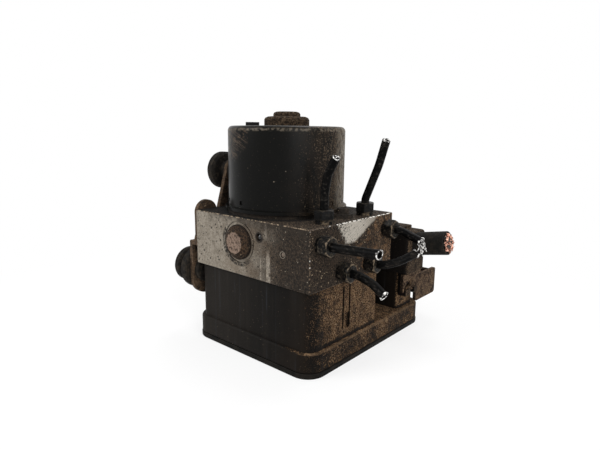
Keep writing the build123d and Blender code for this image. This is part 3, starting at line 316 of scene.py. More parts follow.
def case_plastic():
    finish = Finish("case_plastic")
    x, y, z = finish.x, finish.y, finish.z
    wander = finish.noise(9.0, 3.0) * 24.0 - 12.0
    creeping = finish.facing_y.rise(-0.6, -0.9) * (x + wander - z * 0.3).rise(10.0, 52.0)
    cover = case_cover(finish, wander, creeping)

    around = x + y
    streak = finish.lines(around, 6.0).rise(0.35, 0.75)
    streak = streak * finish.noise(9.0, 3.0, (1, 1, 4), 3.0).rise(0.35, 0.65)
    # Painted highlight: thin bluish vertical lines on the front, as light catching faint ribs, stronger to
    # the left.
    bluish_sheen = finish.lines(around + 50.0, 4.0).rise(0.58, 0.7)
    bluish_sheen = bluish_sheen * finish.noise(6.0, 3.0, (1, 1, 5), 9.0).rise(0.4, 0.6)
    leftward = x.rise(40.0, -30.0)
    bare = finish.mix(leftward * 0.5 + streak * 0.35, case_black, srgb(37, 33, 29))
    bare = finish.mix(bluish_sheen * (leftward * 0.3 + 0.25), bare, srgb(52, 56, 62))
    bare = finish.mix(finish.specks(2.0, 0.2, 8.0, 0.25) * 0.5, bare, srgb(84, 74, 62))
    bare = finish.mix(creeping * 0.45, bare, srgb(30, 23, 17))
    bare = finish.mix(cover * 0.8, bare, srgb(18, 13, 9))

    grains = sprinkle(finish, cover)
    # Painted highlight: a paler band along the rounded top of the flange's step, as light from above catches
    # it.
    shoulder_highlight = finish.facing_z.rise(0.1, 0.4) * finish.facing_z.rise(0.99, 0.8)
    shoulder_highlight = shoulder_highlight * finish.noise(4.0, 3.0).rise(0.25, 0.6) * (x + y * 0.6).rise(20.0, 34.0)
    shoulder_highlight = shoulder_highlight * z.rise(flange_step + 3.0, flange_step + 1.0)
    colour = finish.mix(grains * (cover * 1.25).low(1.0), bare, grit_colour(finish))
    colour = finish.mix(shoulder_highlight * 0.4, colour, srgb(112, 92, 72))
    height = grains + finish.noise(0.8, 2.0) * 0.25
    return finish.done(colour, grains * 0.35 + 0.55, 0.0, height, 0.3, specular=0.05)


case = case_plastic()
print("case finish", len(case.node_tree.nodes), "nodes, step at", flange_step, "mm")

# %% [markdown]
# ## The valve block
# Sawn aluminium, weathered to a grey beige. On the front, dirt, partly painted shade, darkens it from the
# right, painted shade lies under the motor, two pale drips run down, and pinholes cover it. The side is
# black with grit but for one brushed wedge between the pipes, and its edges carry painted highlights in
# dashes.


# %% Block front
plug_height = 75.4  # of the pump plugs' middles, in mm, as the places below are
ball_hole, struck_ring = (17.9, 81.0), (37.35, 73.5)
broad_drip, thin_drip, bruise = 25.5, 19.1, 23.4


def front_face(finish, creep_and_shade, cloud, blotch):
    """The front: bare metal darkened from the right by dirt and partly by painted shade, its drips, the marks
    round the pressed balls, a painted shade round the deep ball's hole, and painted shade under the motor.
    """
    x, z = finish.x, finish.z
    tarnish = (finish.noise(6.0, 4.0) * 0.6 + finish.grit(1.3, 0.2) * 0.4).rise(0.2, 0.8)
    bare = finish.mix(tarnish, srgb(138, 130, 118), srgb(98, 90, 79))
    soiled = finish.noise(1.6, 4.0, rough=0.8).rise(0.4, 0.6)
    face = finish.mix(creep_and_shade, bare, finish.mix(soiled, srgb(24, 19, 14), srgb(58, 48, 39)))
    brown = finish.disc(x, z, (8.0, 70.0), 22.0, 14.0) * cloud.rise(0.35, 0.65)
    face = finish.mix(brown * 0.5, face, srgb(84, 68, 52))
    face = finish.mix(sprinkle(finish, creep_and_shade * 0.3 + 0.2, 0.85) * 0.85, face, srgb(18, 14, 10))
    pale_specks = finish.specks(2.1, 0.17, 21.0, 0.4) * (creep_and_shade * 0.4 + 0.4)
    face = finish.mix(pale_specks, face, srgb(170, 160, 144))

    wander = finish.noise(5.0, 2.0, shift=2.0) * 3.0 - 1.5
    runs = abs(x + wander - broad_drip - blotch * 1.5 + 0.75).rise(2.0, 1.0)
    runs = runs * z.rise(77.0, 66.0) * blotch.rise(0.3, 0.5)
    runs = runs + abs(x + wander * 0.3 - thin_drip).rise(0.7, 0.2) * z.rise(69.0, 66.0) * 0.6
    runs = runs + abs(x + wander - bruise).rise(2.0, 0.6) * z.rise(79.0, 84.0) * 0.45
    face = finish.mix(runs.low(1.0) * finish.grit(1.2, 0.4), face, srgb(168, 158, 144))

    # Painted shade: a dark disc round the deep ball widens the shade of its hole.
    face = finish.mix(finish.disc(x, z, ball_hole, 3.3, 0.5) * 0.9, face, srgb(14, 11, 9))
    ring = finish.disc(x, z, struck_ring, 2.1, 0.25) * (1 - finish.disc(x, z, struck_ring, 1.35, 0.2))
    face = finish.mix(ring * 0.8, face, srgb(142, 134, 122))
    # Painted shade: darker along the front's top, under the motor.
    shade_under_can = (z + cloud * 16.0 + blotch * 8.0).rise(95.0, 104.0) * (x + 40.0).rise(0.0, 30.0)
    return finish.mix((shade_under_can * (blotch * 0.6 + 0.5)).low(1.0), face, srgb(40, 34, 28))


print("front: plugs at", plug_height, "mm, ball hole at", ball_hole, "and struck ring at", struck_ring)

# %% [markdown]
# The side needs its wedge of clean metal. Its three borders are straight lines that waver with the
# blotches, so the wedge is a product of three ramps, and the brushing in it is noise along one slant.


# %% Block side
wedge_foot, wedge_slope = 77.5, 0.52  # the lower border: its height in mm at y = 0, and its climb


def clean_wedge(finish, blotch):
    """1 in the wedge of clean metal: above one slant, under the top edge, and behind another slant."""
    y, z = finish.y, finish.z
    wedge = (z - wedge_foot - y * wedge_slope + blotch * 5.0 - 2.5).rise(-1.0, 1.5) * z.rise(76.5, 79.0)
    return wedge * (y + 18.0 - (90.0 - z) * 0.7 + blotch * 10.0 - 5.0).rise(-2.0, 2.0)


def side_face(finish, wedge, blotch):
    """The side: brushed metal in the wedge, and black, sandy or orange grit around it."""
    y, z = finish.y, finish.z
    brushed = finish.lines(y * 0.46 - z * 0.89 + blotch * 0.8, 0.5).rise(0.3, 0.7)
    brushed = finish.mix(brushed, srgb(134, 128, 118), block_bright)
    brushed = finish.mix(y.rise(4.0, 30.0) * 0.7, brushed, srgb(84, 72, 60))
    dirt = sprinkle(finish, y.rise(0.0, -20.0) * 0.35 + 0.25, 1.1)
    brushed = finish.mix(dirt, brushed, srgb(24, 20, 17))
    orange = finish.noise(4.0, 3.0, shift=9.0).rise(0.52, 0.66) * y.rise(-6.0, 10.0)
    flank = grit_colour(finish, 1.0, srgb(6, 5, 4), srgb(68, 56, 45))
    flank = finish.mix(orange * 0.6, flank, srgb(112, 82, 56))
    sandy = finish.noise(1.2, 3.0, shift=13.0, rough=0.7).rise(0.47, 0.58) * y.rise(12.0, 32.0)
    flank = finish.mix(sandy * 0.7, flank, srgb(122, 96, 72))
    return finish.mix(wedge, flank, brushed)


print("side: a clean wedge from", wedge_foot, "mm up, its lower border climbing", wedge_slope, "mm a mm")

# %% [markdown]
# The whole finish picks a face by the way it looks, then adds what crosses the faces: pinholes, the rim
# of dirt round the pressed plug, chips, and dashes of painted highlight along the top, right and front edges.


# %% Block finish
def edge_highlights(finish):
    """Two masks of painted highlight in bright dashes: the top and right edges, most at the top, and the
    front's upper edge.
    """
    facing_x, facing_y, facing_z = finish.facing_x, finish.facing_y, finish.facing_z
    edge = facing_x.rise(0.6, 0.68) * facing_x.rise(0.8, 0.74)
    densest_highlight = facing_z.rise(0.5, 0.6) * finish.y.rise(-22.0, -10.0) * 0.12
    highlight_dashes = edge * (finish.noise(2.0, 3.0, shift=6.0) + densest_highlight * 1.5).rise(0.65, 0.68)
    ridge_highlight = 0.5 * facing_y.rise(-0.5, -0.6) * facing_y.rise(-0.85, -0.75) * facing_z.rise(0.5, 0.6)
    return highlight_dashes, ridge_highlight * finish.noise(1.6, 3.0, shift=9.0).rise(0.5, 0.58)


def block_metal():
    finish = Finish("block_metal")
    x, y, z = finish.x, finish.y, finish.z
    front = finish.facing_y.rise(-0.8, -0.95)
    side = finish.facing_x.rise(0.8, 0.95)
    top = finish.facing_z.rise(0.8, 0.95)
    cloud = finish.noise(15.0, 4.0)
    blotch = finish.noise(3.0, 4.0, rough=0.65)
    # Darker and browner from the right: dirt, and partly painted shade.
    creep_and_shade = (x + cloud * 36.0 - 18.0).rise(-11.0, 42.0)
    wedge = clean_wedge(finish, blotch)

    crown_grit = sprinkle(finish, (x - y * 0.3).rise(-30.0, 60.0) * 0.4 + 0.15, 1.2)
    crown = finish.mix(crown_grit, srgb(18, 14, 10), srgb(92, 78, 64))
    # Painted shade: a dark ring on the top round the can's foot, in the gap under its lip.
    crown = finish.mix(finish.disc(x, y, (0, 0), 45.0, 3.0) * 0.9, crown, srgb(9, 8, 7))
    colour = finish.mix(side, crown, side_face(finish, wedge, blotch))
    colour = finish.mix(front, colour, front_face(finish, creep_and_shade, cloud, blotch))

    rim = finish.disc(x, z, (-0.4, 75.0), 15.2, 0.6) * (1 - finish.disc(x, z, (0.0, plug_height), 13.2, 0.3))
    rim = rim * (x + z - plug_height).rise(2.0, -6.0) * finish.grit(1.8, 0.05, 3.0)
    pinholes = finish.specks(2.8, 0.19, kept=0.7) + finish.specks(5.5, 0.14, 3.0, 0.9)
    pits = pinholes * (1 - top) + rim * 0.9
    colour = finish.mix(pits.low(0.9), colour, srgb(14, 11, 9))
    chips = finish.specks(2.4, 0.18, 7.0, 0.5)
    chips = chips * (side * wedge.rise(0.9, 0.1) + front * creep_and_shade * 0.25).low(1.0)
    # Painted highlight: bright dashes along the top, right and front upper edges, the front's mixed in with
    # the real chips.
    highlight_dashes, ridge_highlight = edge_highlights(finish)
    colour = finish.mix((chips + ridge_highlight).low(1.0), colour, srgb(178, 158, 132))
    colour = finish.mix(highlight_dashes.low(1.0), colour, highlight_white)
    grown = (front * creep_and_shade * 0.6 + side * (1 - wedge) + top).low(1.0)
    height = finish.grit(1.7) * grown + finish.noise(1.0, 3.0) * 0.4 - pits * 1.5
    return finish.done(colour, grown * 0.4 + 0.45, (1 - grown) * 0.2, height, 0.45, specular=0.14)


block = block_metal()
print("block finish", len(block.node_tree.nodes), "nodes")

# %% [markdown]
# ## The motor can
# A deep-drawn steel can in satin black paint, so its two edges mirror the white surround faintly. Fine
# grit grows towards the side that faced the road, the boss on the crown is rusty, the rim carries a thin
# painted highlight, pale flecks along the right edge are painted highlight and chips, and the upper left
# is scratched. Distances across the can are measured towards that dirty side.


# %% Can finish
boss_height = 9.5
crown_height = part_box("motor_can")[1].z / MM - boss_height
dirty_x, dirty_y = 0.754, 0.657  # the level direction towards the dirty side, of length 1


def can_paint():
    finish = Finish("can_paint")
    x, y, z = finish.x, finish.y, finish.z
    boss = finish.disc(x, y, (0, 0), 17.0, 1.0) * z.rise(crown_height - 1.0, crown_height + 0.5)
    across = x * dirty_x + y * dirty_y
    toward_front = (y * dirty_x - x * dirty_y).rise(10.0, -4.0)
    cloud = finish.noise(13.0, 4.0)
    toward_road = (across + cloud * 26.0 - 13.0).rise(-6.0, 44.0)
    haze = finish.noise(5.0, 4.0, (1, 1, 2.5), 4.0).rise(0.3, 0.6) * toward_road
    dust = sprinkle(finish, toward_road * 0.62, 1.0)
    colour = finish.mix(haze * 0.7, can_black, srgb(36, 28, 21))
    colour = finish.mix(dust * 0.6, colour, srgb(86, 74, 61))
    on_crown = z.rise(crown_height - 2.2, crown_height - 0.8)
    crown_grit = sprinkle(finish, across.rise(-30.0, 40.0) * 0.45 + 0.05, 1.0)
    crown_dirt = finish.mix(crown_grit, srgb(16, 14, 12), srgb(92, 80, 66))
    colour = finish.mix(on_crown * 0.9, colour, crown_dirt)
    # Painted highlight: a thin pale line along the rim just under the crown, broken into patches.
    shoulder_highlight = z.rise(crown_height - 3.8, crown_height - 2.6) * (1 - on_crown)
    highlight_patches = finish.noise(2.2, 3.0, shift=17.0).rise(0.42, 0.6)
    colour = finish.mix(shoulder_highlight * highlight_patches * 0.32, colour, srgb(126, 116, 102))
    corner = (across * -1.0 + z * 0.55 + cloud * 8.0).rise(101.0, 110.0) * z.rise(121.0, 130.0)
    corner = corner * toward_front * finish.facing_z.rise(0.6, 0.3)
    hatch = finish.lines(z + across * 0.62, 0.42).rise(0.56, 0.62) * finish.grit(3.0, 0.05, 7.0)
    colour = finish.mix(corner * hatch * 0.7, colour, srgb(150, 126, 104))
    colour = finish.mix(corner * finish.specks(1.9, 0.2, 15.0, 0.4), colour, srgb(150, 126, 104))
    # Painted highlight with chips: pale flecks along the can's right edge, on its front half.
    right_edge_highlight = across.rise(30.0, 37.0) * toward_front
    chips = finish.noise(1.3, 3.0, (1, 1, 2.5), shift=12.0, rough=0.7).rise(0.42, 0.58) * right_edge_highlight
    colour = finish.mix(chips * 0.7, colour, srgb(130, 122, 110))
    foot = z.rise(98.0, 94.0) * finish.grit(1.8, 0.08, 2.0) * toward_road * 0.7
    colour = finish.mix(foot, colour, srgb(70, 60, 49))
    colour = finish.mix(finish.specks(5.5, 0.06, 1.0, 0.4) * 0.8, colour, srgb(140, 130, 116))
    colour = finish.mix(boss, colour, grit_colour(finish, 1.2, srgb(22, 16, 12), srgb(80, 66, 52)))
    height = finish.noise(1.3, 3.0) * 0.08 + dust * 0.4 + boss * finish.grit(1.2) - corner * hatch * 0.5
    roughness = 0.3 + (dust * 0.4 + haze * 0.2 + boss * 0.5).low(0.5)
    return finish.done(colour, roughness, 0.0, height, 0.25, specular=0.07)


can = can_paint()
print("can finish", len(can.node_tree.nodes), "nodes, crown at", round(crown_height, 1), "mm")


# %% [markdown]
# ## Rusty steel, rubber and coated pipes
# The bracket, its bolts and the pump plugs share one rust. The bushes are matt rubber with dust in their
# folds, and the pipes have a smooth black coating that shows only fine scuffs along them.


# %% Shared finishes
def rusty_steel(name, dark=srgb(20, 15, 11), light=srgb(96, 76, 57)):
    finish = Finish(name)
    scale = finish.noise(5.0, 4.0, rough=0.6).rise(0.35, 0.65)
    grains = finish.grit(1.1, 0.12)
    colour = finish.mix(scale * 0.5 + grains * 0.5, dark, light)
    colour = finish.mix(finish.specks(2.4, 0.18, 2.0, 0.4), colour, srgb(150, 130, 108))
    return finish.done(colour, 0.85 - grains * 0.1, 0.0, grains + scale, 0.35, specular=0.2)


def plug_steel():
    """The pressed plugs: dark rusty flanks round a scuffed, paler nose."""
    finish = Finish("plug_steel")
    apart = (finish.x.power(2) + (finish.z - plug_height).power(2)).power(0.5)
    nose = (apart + finish.noise(2.4, 3.0) * 1.6).rise(7.9, 7.3)
    flank = grit_colour(finish, 1.0, srgb(9, 6, 4), srgb(72, 54, 39))
    scuffs = finish.noise(1.3, 4.0, (1, 1, 1.6), 5.0, 0.7).rise(0.38, 0.52)
    face = finish.mix(scuffs, srgb(46, 34, 27), srgb(134, 114, 100))
    flank = finish.mix((apart + finish.noise(2.0) * 1.5).rise(10.6, 11.8) * 0.75, flank, srgb(12, 9, 7))
    height = finish.grit(1.6) + nose * scuffs
    return finish.done(finish.mix(nose, flank, face), 0.7, nose * 0.2, height, 0.35, specular=0.12)


def dusty_rubber(name, dark=srgb(17, 15, 13), dusty=srgb(64, 56, 46), share=0.6):
    finish = Finish(name)
    patches = finish.noise(4.0, 4.0).rise(0.4, 0.72)
    grains = finish.grit(1.6, 0.12)
    colour = finish.mix(patches * (grains * 0.7 + 0.3) * share, dark, dusty)
    colour = finish.mix(finish.specks(3.0, 0.12, 4.0, 0.3) * share, colour, srgb(128, 112, 92))
    return finish.done(colour, 0.85, 0.0, grains * 0.6 + patches * 0.4, 0.25, specular=0.12)


def pipe_coating():
    finish = Finish("pipe_coating")
    scuffs = finish.noise(1.2, 3.0, (2, 2, 1)).rise(0.55, 0.66)
    patches = finish.noise(5.0, 3.0, shift=3.0).rise(0.5, 0.75)
    colour = finish.mix(scuffs * 0.3 + patches * 0.12, srgb(6, 6, 6), srgb(66, 61, 56))
    return finish.done(colour, 0.38 + patches * 0.3, 0.0, finish.noise(0.9, 2.0), 0.12, specular=0.03)


def nut_finish():
    """Black nuts. The ones on the block's side are muddy, with painted highlights on their chamfers; the two
    on its top are clean, with fainter ones.
    """
    finish = Finish("nut_finish")
    worn = finish.noise(1.5, 3.0).rise(0.54, 0.62)
    mud = finish.noise(4.0, 3.0, shift=5.0).rise(0.45, 0.65)
    on_side = finish.z.rise(94.0, 92.0)
    colour = finish.mix(mud * on_side * 0.25, srgb(4, 4, 4), srgb(44, 36, 28))
    colour = finish.mix(worn * (on_side * 0.12 + 0.03), colour, srgb(128, 116, 98))
    # Painted highlight: pale patches on the chamfers, strong on the side nuts and faint on the top ones.
    chamfer_x = finish.facing_x.rise(0.2, 0.35) * finish.facing_x.rise(0.97, 0.9)
    chamfer_z = finish.facing_z.rise(0.2, 0.35) * finish.facing_z.rise(0.97, 0.9)
    chamfers = chamfer_x * on_side * 0.5 + chamfer_z * (1 - on_side) * 0.08
    highlight_patches = finish.noise(1.8, 2.0, shift=8.0).rise(0.35, 0.6) * chamfers
    colour = finish.mix(highlight_patches, colour, srgb(128, 112, 92))
    return finish.done(colour, 0.36 + mud * 0.35, 0.0, finish.grit(1.2), 0.08, specular=0.1)


def plug_plastic(name, dark, pale, soiled):
    """Black connector plastic: soiled is how far grit covers it, 0 to 1, beyond where it faces the road."""
    finish = Finish(name)
    road = finish.facing_x.rise(0.3, 0.9) + finish.facing_z.rise(0.3, 0.9)
    cover = (road * (1 - soiled) + soiled) * finish.noise(5.0, 3.0, shift=6.0).rise(0.1, 0.55)
    grains = sprinkle(finish, cover.low(1.0) * 0.75)
    grit = grit_colour(finish, 0.9, dark, pale)
    grit = finish.mix(finish.noise(0.9, 3.0, shift=4.0, rough=0.8).rise(0.5, 0.62) * 0.6, grit, dark)
    colour = finish.mix(grains, dark, grit)
    return finish.done(colour, 0.8, 0.0, grains, 0.3, specular=0.08)


rust, dull_plate = rusty_steel("rusty_steel"), rusty_steel("dull_plate", srgb(14, 12, 10), srgb(52, 44, 36))
plug_metal, coating, nuts = plug_steel(), pipe_coating(), nut_finish()
rubber, jacket = dusty_rubber("bush_rubber"), dusty_rubber("cable_jacket", srgb(20, 19, 17), share=0.35)
connector = plug_plastic("connector_plastic", srgb(12, 9, 7), srgb(104, 86, 68), 0.12)
slide = plug_plastic("slide_plastic", srgb(24, 17, 12), srgb(136, 110, 86), 0.55)
print("shared finishes", [f.name for f in (rust, dull_plate, plug_metal, coating, nuts, rubber, jacket)])


# %% [markdown]
# ## Finishes of the inner parts
# Most of these are sealed inside, but each still has the look of its own stuff: turned steel has fine
# rings, the iron stack has its laminations, the coils are wound, and the board is green varnish.


# %% Inner finishes
def turned_steel(name, colour=srgb(168, 168, 170), rough=0.32):
    finish = Finish(name)
    fine = finish.noise(0.5, 2.0, (6, 6, 1))
    tone = finish.mix(finish.noise(6.0, 3.0), tuple(c * 0.75 for c in colour), colour)
    return finish.done(tone, rough + fine * 0.15, 0.9, fine, 0.04)


def banded(name, dark, light, pitch, metal, rough):
    """Bands along Z, one every pitch millimetres, as sheets or turns of wire: a sine of the height."""
    finish = Finish(name)
    bands = (finish.z * (tau / pitch)).sine() * 0.5 + 0.5
    colour = finish.mix(bands * 0.7 + finish.noise(3.0) * 0.3, dark, light)
    return finish.done(colour, rough, metal, bands, pitch / 4)


def ball_finish():
    """The pressed balls: one deep in its hole, painted near black as shade, and one further right, covered
    with the dirt.
    """
    finish = Finish("ball_steel")
    covered = finish.x.rise(25.0, 30.0)
    # Painted shade: the deep ball is near black, as the shade in its hole.
    colour = finish.mix(covered, srgb(16, 14, 12), srgb(82, 70, 58))
    return finish.done(colour, covered * 0.5 + 0.15, 0.0, finish.noise(1.5, 2.0), 0.2, specular=0.5)


def plain(name, dark, light, size, rough, metal=0.0, depth=0.08, specular=0.4):
    """Two tones of one colour in soft patches, for parts that are hardly ever seen."""
    finish = Finish(name)
    patches = finish.noise(size, 4.0)
    colour = finish.mix(patches.rise(0.3, 0.7), dark, light)
    return finish.done(colour, rough, metal, patches, depth, specular=specular)


steel = turned_steel("turned_steel")
copper = banded("copper_turns", srgb(120, 62, 36), srgb(196, 112, 72), 0.6, 0.7, 0.4)
stack = banded("iron_sheets", srgb(52, 52, 54), srgb(112, 112, 116), 0.7, 0.7, 0.45)
coils = banded("coil_turns", srgb(60, 30, 16), srgb(112, 60, 32), 0.8, 0.1, 0.5)
print("inner finishes", [f.name for f in (steel, copper, stack, coils)])

# %% [markdown]
# ## Who wears what
# One table gives each finish the names of its solids, so a solid without one is easy to find. The
# finishes that only one row needs are made in that row.

# %% Give each solid its finish
finishes = {
    case: ("ecu_housing",),
    plain("cover_plastic", srgb(10, 10, 9), srgb(26, 23, 20), 5.0, 0.6, specular=0.05): ("ecu_cover",),
    block: ("valve_block",),
    can: ("motor_can",),
    rust: ("mounting_bracket", "bracket_bolts"),
    plug_metal: ("pump_plugs",),
    rubber: ("bush_upper", "bush_lower_front", "bush_lower_rear"),
    coating: tuple(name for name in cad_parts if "_pipe_" in name),
    nuts: ("inlet_nuts", "outlet_nuts"),
    connector: ("harness_plug", "terminal_carrier"),
    slide: ("slide_lock",),
    dull_plate: ("motor_end_plate", "motor_screws", "bush_sleeves", "ecu_screws"),
    steel: (
        "motor_shaft", "lower_bearing", "upper_bearing", "pump_piston_front", "pump_piston_rear",
        "pump_spring_front", "pump_spring_rear", "accumulator_spring_front", "accumulator_spring_rear",
        "brush_springs", "eccentric_ring", "inlet_valves", "outlet_valves",
    ),
    ball_finish(): ("ball_plugs",),
    plain("cast_piston", srgb(120, 120, 122), srgb(150, 150, 152), 4.0, 0.4, 0.8): (
        "accumulator_piston_front", "accumulator_piston_rear", "accumulator_caps",
    ),
    copper: ("armature_windings",),
    plain("commutator_copper", srgb(150, 84, 54), srgb(200, 120, 82), 3.0, 0.35, 0.85): ("commutator",),
    stack: ("armature_core",),
    coils: ("solenoid_coils",),
    plain("ferrite", srgb(44, 44, 46), srgb(66, 66, 70), 2.0, 0.7): ("field_magnets",),
    plain("carbon", srgb(30, 30, 31), srgb(50, 50, 52), 1.0, 0.6): ("brushes",),
    plain("brush_holder", srgb(58, 46, 34), srgb(86, 70, 52), 6.0, 0.55): ("brush_plate", "contact_sleeve"),
    plain("board_green", srgb(14, 62, 38), srgb(24, 92, 56), 7.0, 0.35): ("circuit_board",),
    plain("chip_black", srgb(10, 10, 10), srgb(20, 19, 18), 1.0, 0.6, specular=0.1): (
        "control_chip", "vent_cap",
    ),
    plain("capacitor_can", srgb(130, 132, 136), srgb(160, 162, 166), 3.0, 0.35, 0.7): ("filter_capacitors",),
    plain("seal_silicone", srgb(112, 34, 22), srgb(140, 52, 34), 3.0, 0.55): ("ecu_seal", "plug_seal"),
    plain("tinned_brass", srgb(170, 164, 132), srgb(206, 200, 170), 2.0, 0.3, 0.9): (
        "connector_pins", "motor_contacts",
    ),
    jacket: ("harness_jacket",),
    plain("wire_insulation", srgb(20, 18, 17), srgb(40, 32, 28), 1.2, 0.6): ("harness_wires",),
}
for material, names in finishes.items():
    for name in names:
        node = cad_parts[name]
        node.data.materials.clear()
        node.data.materials.append(material)
unfinished = set(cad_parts) - {name for names in finishes.values() for name in names}
print(len(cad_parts) - len(unfinished), "solids finished, left over:", sorted(unfinished))

# %% [markdown]
# ## Smooth shading
# The solids come as loose triangles. Welding them live, and splitting only the edges sharper than
# 30 degrees, lets round walls shade smoothly while corners stay crisp. The mesh itself isn't touched.

# %% Smooth the solids
weld_reach, sharp_edge = 0.002 * MM, radians(30)
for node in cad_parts.values():
    node.data.polygons.foreach_set("use_smooth", np.ones(len(node.data.polygons), bool))
    weld = node.modifiers.new("weld", "WELD")
    weld.merge_threshold = weld_reach
    split = node.modifiers.new("split", "EDGE_SPLIT")
    split.split_angle = sharp_edge
print(len(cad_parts), "solids smoothed up to", round(degrees(sharp_edge)), "degrees")

# %% [markdown]
# ## Pieces from surfaces
# New pieces are surfaces worked out with numpy. A tube is a circle carried along a path: at each point of
# the path two directions square to it are found, and the circle's cosine and sine weigh them.


# %% Surface helpers
def grid_mesh(rings, closed_ends=True):
    """A mesh from an array of rings, (ring, point, xyz) in mm, each ring closed on itself.

    Faces join each point to the next on its ring and to the same two on the next ring. The end rings are
    filled with one face each where closed_ends asks for it."""
    count, around = rings.shape[:2]
    index = np.arange(count * around).reshape(count, around)
    near, far = index[:-1], index[1:]
    quads = np.stack([near, np.roll(near, -1, 1), np.roll(far, -1, 1), far], -1).reshape(-1, 4)
    faces = quads.tolist()
    if closed_ends:
        faces += [index[0][::-1].tolist(), index[-1].tolist()]
    return rings.reshape(-1, 3) * MM, faces


def joined(name, parts, material, smooth=True):
    """One object from several (points, faces) pairs."""
    points, faces, start = [], [], 0
    for part_points, part_faces in parts:
        points.append(part_points)
        faces += [[i + start for i in face] for face in part_faces]
        start += len(part_points)
    mesh = bpy.data.meshes.new(name)
    mesh.from_pydata(np.concatenate(points).tolist(), [], faces)
    mesh.polygons.foreach_set("use_smooth", np.full(len(mesh.polygons), smooth))
    mesh.materials.append(material)
    mesh.validate()
    piece = bpy.data.objects.new(name, mesh)
    bpy.context.scene.collection.objects.link(piece)
    return piece


def tube(path, radius, sides):
    """Rings along a path: centre + radius * (cos(t) * side + sin(t) * lift), side and lift square to it."""
    run = np.gradient(path, axis=0)
    run /= np.linalg.norm(run, axis=1, keepdims=True)
    guide = np.array([0.31, 0.53, 0.79])
    side = np.cross(run, guide)
    side /= np.linalg.norm(side, axis=1, keepdims=True)
    lift = np.cross(run, side)
    turn = np.linspace(0, tau, sides, endpoint=False)
    radius = np.broadcast_to(radius, len(path))[:, None, None]
    ring = np.cos(turn)[None, :, None] * side[:, None] + np.sin(turn)[None, :, None] * lift[:, None]
    return path[:, None] + radius * ring


trial_path = np.outer(np.arange(5), (1, 0, 0))
trial_points, trial_faces = grid_mesh(tube(trial_path, 1.0, 6))
print("a tube of 5 rings has", len(trial_points), "points and", len(trial_faces), "faces")

# %% [markdown]
# ## Springs wound again
# Four coil springs stand behind pistons that slide. A rigid coil would cut through its piston as the piston
# comes. Each one is wound again here as a helix from its fixed seat, at its free length, in place of the
# solid's spring.


# %% Springs
steps_per_turn, wire_sides = 24, 8


def coil(seat, run, radius, wire, length, turns):
    """A helix from the fixed seat: at angle a it is radius from the axis and a / (2 pi turns) of the way."""
    run = np.array(run, float)
    side = np.array([0.0, 0.0, 1.0])
    lift = np.cross(run, side)
    angle = np.linspace(0, tau * turns, steps_per_turn * turns + 1)[:, None]
    climb = wire + (length - 2 * wire) * angle / angle[-1]
    return np.array(seat) + climb * run + radius * (np.cos(angle) * side + np.sin(angle) * lift)


# Each kind: its radius, its wire's radius and its free length in mm, its turns, and the piston's stroke.
pump_coil = (4.4, 0.6, 8.5, 5, 2.0)
cup_coil = (5.6, 0.8, 17.85, 5, 6.0)
springs = (
    ("pump_spring_front", (0, -35.4, plug_height), (0, 1, 0), pump_coil, "front_pump_stroke"),
    ("pump_spring_rear", (0, 35.4, plug_height), (0, -1, 0), pump_coil, "rear_pump_stroke"),
    ("accumulator_spring_front", (-40.7, -20.0, 68.0), (1, 0, 0), cup_coil, "front_accumulator_stroke"),
    ("accumulator_spring_rear", (-40.7, 20.0, 68.0), (1, 0, 0), cup_coil, "rear_accumulator_stroke"),
)
for name, seat, run, (radius, wire, length, turns, stroke), joint in springs:
    path = coil(seat, run, radius, wire, length, turns)
    piece = joined(name.replace("spring", "coil"), [grid_mesh(tube(path, wire, wire_sides))], steel)
    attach(piece, "module")
    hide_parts(name)
    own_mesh(piece)
    print(piece.name, "free length", length, "mm, pressed", round(length - stroke, 2))

# %% [markdown]
# ## Copper in the cut cable
# Each wire of the cable was cut through with shears, so its strands stand out of the insulation, bent
# over and matted. A strand is a thin tube that starts in its wire, runs out along the cable, and curls to
# one side with a random amplitude. One seeded generator makes the same mat each time.

# %% Copper strands
cable_tilt = radians(10)
cable_run = np.array([cos(cable_tilt), 0, sin(cable_tilt)])
cable_side = np.array([0, 1, 0])
cable_lift = np.cross(cable_run, cable_side)
cable_start = np.array([59.5, 72.5, 64.5])
cable_length, wire_ring, outer_wires, wire_out = 26.5, 5.3, 8, 0.2
strands_per_wire, strand_radius, strand_sides = 11, 0.34, 5
widest = 7.0  # how far from the cable's middle a strand may stand, in mm
random = np.random.default_rng(7)


def strand(wire_middle):
    """A strand's path: out along the cable, bent over by a random lean, with a curl round its way.

    The lean grows with the power 1.5 of the way past the middle, and the curl is a sine across and a
    cosine above, of the same phase."""
    along = np.linspace(-1.0, 1.0, 9)[:, None]
    spread = random.normal(0, 0.62, 2)
    lean = random.normal(0, 1.25, 2)
    curl = random.uniform(0.2, 0.7)
    phase = random.uniform(0, tau)
    out = cable_length + wire_out + (along * 0.5 + 0.5) * random.uniform(0.8, 1.9)
    late = np.clip(along, 0, 1) ** 1.5
    across = wire_middle[0] + spread[0] + lean[0] * late + curl * np.sin(phase + 3.5 * along)
    above = wire_middle[1] + spread[1] + lean[1] * late + curl * np.cos(phase + 3.5 * along)
    reach = np.clip(widest / np.hypot(across, above), 0, 1)
    return cable_start + out * cable_run + reach * (across * cable_side + above * cable_lift)


